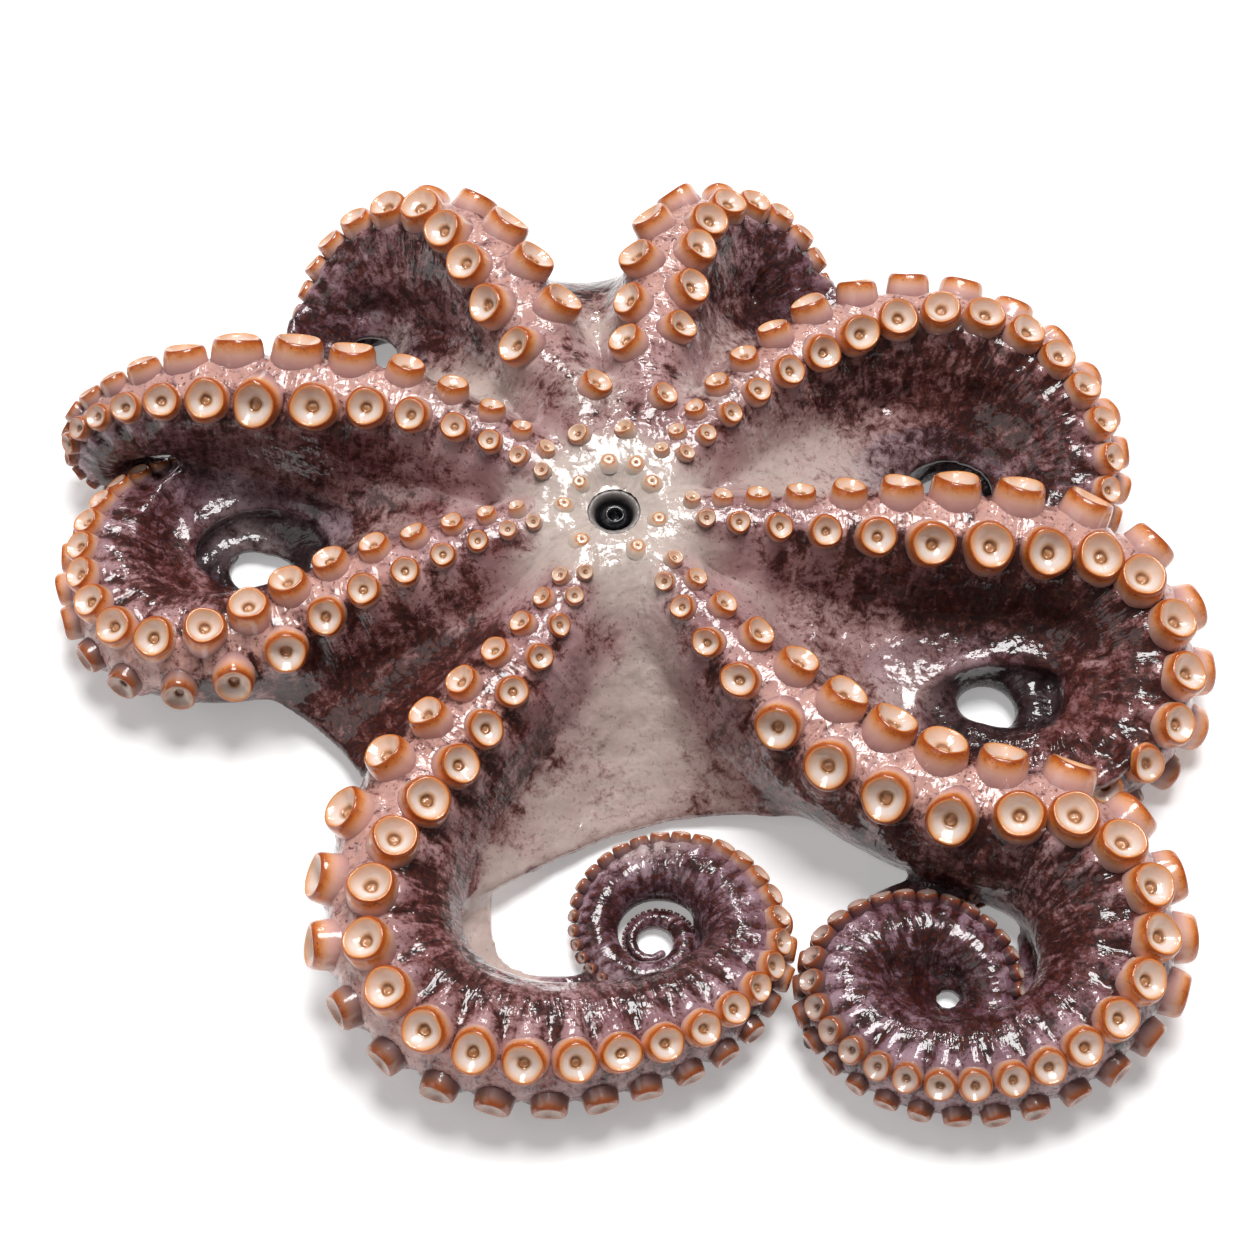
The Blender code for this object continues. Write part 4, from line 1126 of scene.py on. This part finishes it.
def lip_skin():
    """The lip: thin grey wet skin drawn into a ring by cooking. It gives the eye a dull grey shine, with
    painted shade darkening it down into the pit.
    """
    made, tree, surface = new_material("drawn_lip_skin", {
        "Roughness": 0.45, "IOR": 1.38, "Coat Weight": 0.3, "Coat Roughness": 0.08, "Subsurface Weight": 0.1,
        "Subsurface Scale": 0.002,
    })
    down = add(tree, dict(kind="ShaderNodeAttribute", attribute_name="down", out=2), {})
    mm = add(tree, PLACED, {"Vector": add(tree, WHERE, {}), "Scale": MM_PER_METRE})
    clouds = add(tree, NOISE, {"Vector": mm, "Scale": 1 / 2.2, "Detail": 3.0})
    shift = add(tree, TIMES, {0: add(tree, MINUS, {0: clouds, 1: 0.5}), 1: 0.1})
    # Painted shade: the wall darkens to near black down into the pit, and the dark band round the opening is
    # partly the lip's own outline and partly painted shade at the pit's edge.
    colour = add(tree, RAMP, {"Fac": add(tree, PLUS, {0: down, 1: shift})}, [
        (0.0, "#D6CCC5"), (0.22, "#B9ACA3"), (0.3, "#7A6E68"), (0.36, "#5A4E49"), (0.42, "#8C837E"),
        (0.6, "#6F6866"), (0.75, "#3A3536"), (0.9, "#181618")])
    tree.links.new(colour, surface.inputs["Base Color"])
    bump = add(tree, BUMP, {"Strength": 0.6, "Distance": 0.0005, "Height": clouds})
    tree.links.new(bump, surface.inputs["Normal"])
    return made


def beak_horn():
    """The beak: chitin grown in thin layers, wet. It gives the eye a blue-black gloss."""
    made, tree, surface = new_material("wet_beak_chitin", {
        "Roughness": 0.25, "IOR": 1.55, "Coat Weight": 0.6, "Coat Roughness": 0.04})
    mm = add(tree, PLACED, {"Vector": add(tree, WHERE, {}), "Scale": MM_PER_METRE})
    clouds = add(tree, NOISE, {"Vector": mm, "Scale": 1 / 1.2, "Detail": 4.0})
    share = add(tree, EDGE, {"Value": clouds, "From Min": 0.4, "From Max": 0.7})
    tree.links.new(add(tree, MIX, {0: share, 6: "#0B0B0E", 7: "#26242B"}), surface.inputs["Base Color"])
    bump = add(tree, BUMP, {"Strength": 0.4, "Distance": 0.0003, "Height": clouds})
    tree.links.new(bump, surface.inputs["Normal"])
    return made


def turned_mesh(name, outline, sides, ripple, shift=(0.0, 0.0)):
    """A mesh turned round the mouth's axis from (radius, height, place) points; its last ones are shifted."""
    points, faces, places = [], [], []
    for radius, height, place in outline:
        for k in range(sides):
            turn = math.tau * k / sides
            wave = ripple * (math.sin(17 * turn) + 0.6 * math.sin(31 * turn + 1.0) + math.sin(5 * turn + 2.0))
            x = radius * math.cos(turn) + shift[0] * place
            y = radius * math.sin(turn) + shift[1] * place
            points.append((x, y, height + wave * min(1.0, radius / 4.0)))
            places.append(place)
    for j in range(len(outline) - 1):
        for k in range(sides):
            a, b = j * sides + k, j * sides + (k + 1) % sides
            faces.append((a, b, b + sides, a + sides))
    mesh = bpy.data.meshes.new(name)
    mesh.from_pydata(points, [], faces)
    store(mesh, "down", "FLOAT", places)
    mesh.polygons.foreach_set("use_smooth", [True] * len(mesh.polygons))
    return mesh


LIP = [(9.6, -2.1, 0.2), (8.7, -1.8, 0.28), (8.15, -1.55, 0.33), (7.95, -1.35, 0.37), (7.6, -1.15, 0.43),
       (7.0, -1.15, 0.5), (6.4, -1.6, 0.58), (5.9, -2.5, 0.66), (5.45, -4.0, 0.78), (5.15, -5.9, 0.92),
       (2.0, -5.95, 1.0)]
BEAK = [(4.7, 0.3, 0.0), (4.72, 1.5, 0.1), (4.5, 2.5, 0.2), (4.0, 3.4, 0.3), (3.3, 4.1, 0.4), (2.7, 4.5, 0.5),
        (2.3, 4.45, 0.6), (2.0, 4.0, 0.7), (1.8, 3.0, 0.8), (1.7, 1.6, 0.9), (0.02, 1.4, 1.0)]


# The octopus.

def put(name, mesh, finish):
    made = bpy.data.objects.new(name, mesh)
    bpy.context.scene.collection.objects.link(made)
    made.data.materials.clear()
    made.data.materials.append(finish)
    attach(made, "root")
    return made


def dress():
    arms = {name: arm_stations(arm) for name, arm in ARMS.items()}
    places = {name: sucker_places(ARMS[name], stations) for name, stations in arms.items()}
    for name, until in LOOSE_ROWS.items():
        places[name] = loosened(places[name], until)
    tables = arm_tables(arms)
    skin_finish = cooked_skin()

    skin = one_skin(arms)
    open_the_mouth(skin.data)
    where = on_the_arm(vertex_array(skin.data), tables)
    part_the_front_web(where, vertex_array(skin.data))
    ribs = raise_ribs(skin, where, places, arms)
    points = vertex_array(skin.data)
    beside = np.abs(points - MOUTH)[:, :2].max(axis=1) < NEAR_MOUTH
    round_mouth = points[beside & (points[:, 2] > MOUND_FROM)]
    finish_skin(skin.data, where, ribs, in_place)
    skin.data.materials.clear()
    skin.data.materials.append(skin_finish)
    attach(skin, "root")
    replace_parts(skin, "octopus")

    for curve in slender_ends(arms, bpy.context.scene.collection):
        bpy.context.view_layer.update()
        mesh = bpy.data.meshes.new_from_object(curve.evaluated_get(bpy.context.evaluated_depsgraph_get()))
        name = curve.name
        bpy.data.objects.remove(curve)
        finish_skin(mesh, on_the_arm(vertex_array(mesh), tables), np.zeros(len(mesh.vertices)), in_place)
        put(name, mesh, skin_finish)

    sucker_finish = cooked_sucker()
    for number, (name, stations) in enumerate(arms.items()):
        mesh = sucker_mesh(name, round_mouth, stations, places[name], random.Random(number))
        mesh.transform(in_place)
        mesh.polygons.foreach_set("use_smooth", [True] * len(mesh.polygons))
        put(f"suckers_{name}", mesh, sucker_finish)

    lip = turned_mesh("lip", LIP, 120, 0.06)
    lip.transform(in_place @ Matrix.Translation(MOUTH))
    put("lip", lip, lip_skin())
    beak = turned_mesh("beak_dome", BEAK, 64, 0.03, (0.5, -0.9))
    beak.transform(in_place @ Matrix.Translation(MOUTH - Vector((0.0, 0.0, PIT_DEPTH))))
    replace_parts(put("beak_dome", beak, beak_horn()), "beak")


# The floor, a square of twice this size in metres, lies a hair under the octopus.
FLOOR_REACH = 4.0
FLOOR_DROP = 0.0002


def floor():
    """The plain white sheet, lit from below, that the octopus lies on."""
    shape = bmesh.new()
    bmesh.ops.create_grid(shape, x_segments=2, y_segments=2, size=FLOOR_REACH)
    made = place_mesh("floor", shape, bpy.context.scene.collection)
    made.location.z = -FLOOR_DROP
    sheet_finish, tree, surface = new_material("backlit_white_acrylic", {
        "Roughness": 0.8, "Specular IOR Level": 0.1,
        "Emission Color": (1.0, 1.0, 1.0, 1.0), "Emission Strength": 0.3})
    grain = add(tree, NOISE, {"Vector": add(tree, WHERE, {}), "Scale": 400.0, "Detail": 3.0})
    share = add(tree, EDGE, {"Value": grain, "From Min": 0.3, "From Max": 0.7})
    tree.links.new(add(tree, MIX, {0: share, 6: "#F4F4F4", 7: "#F8F8F8"}), surface.inputs["Base Color"])
    made.data.materials.append(sheet_finish)


def sun(name, azimuth, elevation, strength, spread, colour):
    """A far soft light; azimuth 0 is from behind the camera, 180 from behind the octopus."""
    lamp = bpy.data.lights.new(name, "SUN")
    lamp.energy, lamp.angle, lamp.color = strength, math.radians(spread), srgb(colour)[:3]
    made = bpy.data.objects.new(name, lamp)
    bpy.context.scene.collection.objects.link(made)
    turn, rise = math.radians(azimuth), math.radians(elevation)
    towards = Vector((math.sin(turn) * math.cos(rise), -math.cos(turn) * math.cos(rise), math.sin(rise)))
    made.rotation_mode = "QUATERNION"
    made.rotation_quaternion = towards.to_track_quat("Z", "Y")


def light():
    sun("overhead sheet", 165, 72, 3.0, 27, "#FFFFFF")
    sun("low back window", 185, 38, 0.5, 9, "#FFFFFF")
    sun("side wall", -70, 45, 0.35, 40, "#FFFFFF")
    world = bpy.data.worlds.new("studio")
    world.use_nodes = True
    back = world.node_tree.nodes["Background"]
    back.inputs["Color"].default_value = (1.0, 1.0, 1.0, 1.0)
    back.inputs["Strength"].default_value = 0.09
    bpy.context.scene.world = world
    bpy.context.scene.view_settings.view_transform = "Standard"


# The camera, from the photo: its focal length and picture width in pixels, the sensor's width, how
# steeply it looks down, how far it stands off in metres, and the point that it looks at.
FOCAL_LENGTH = 4333.0
PICTURE_WIDTH = 1254.0
SENSOR = 36.0
LOOKS_DOWN = 58.0
STANDS_OFF = 1.3
LOOKS_AT = Vector((-2.1, 10.4, 28.5))


def camera():
    """Looks over the front coils at the mouth."""
    lens = bpy.data.cameras.new("camera")
    lens.sensor_width = SENSOR
    lens.lens = SENSOR * FOCAL_LENGTH / PICTURE_WIDTH
    lens.clip_end = 20.0
    made = bpy.data.objects.new("camera", lens)
    bpy.context.scene.collection.objects.link(made)
    rise = math.radians(LOOKS_DOWN)
    back = Vector((0.0, -math.cos(rise), math.sin(rise)))
    made.location = in_place @ LOOKS_AT + back * STANDS_OFF
    made.rotation_mode = "QUATERNION"
    made.rotation_quaternion = back.to_track_quat("Z", "Y")
    bpy.context.scene.camera = made


low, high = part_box("beak")
mouth = (low + high) / 2.0
in_place = Matrix.Translation((mouth.x - MOUTH.x * MM, mouth.y - MOUTH.y * MM, 0.0)) @ Matrix.Scale(MM, 4)

dress()
floor()
light()
camera()

bpy.context.view_layer.update()
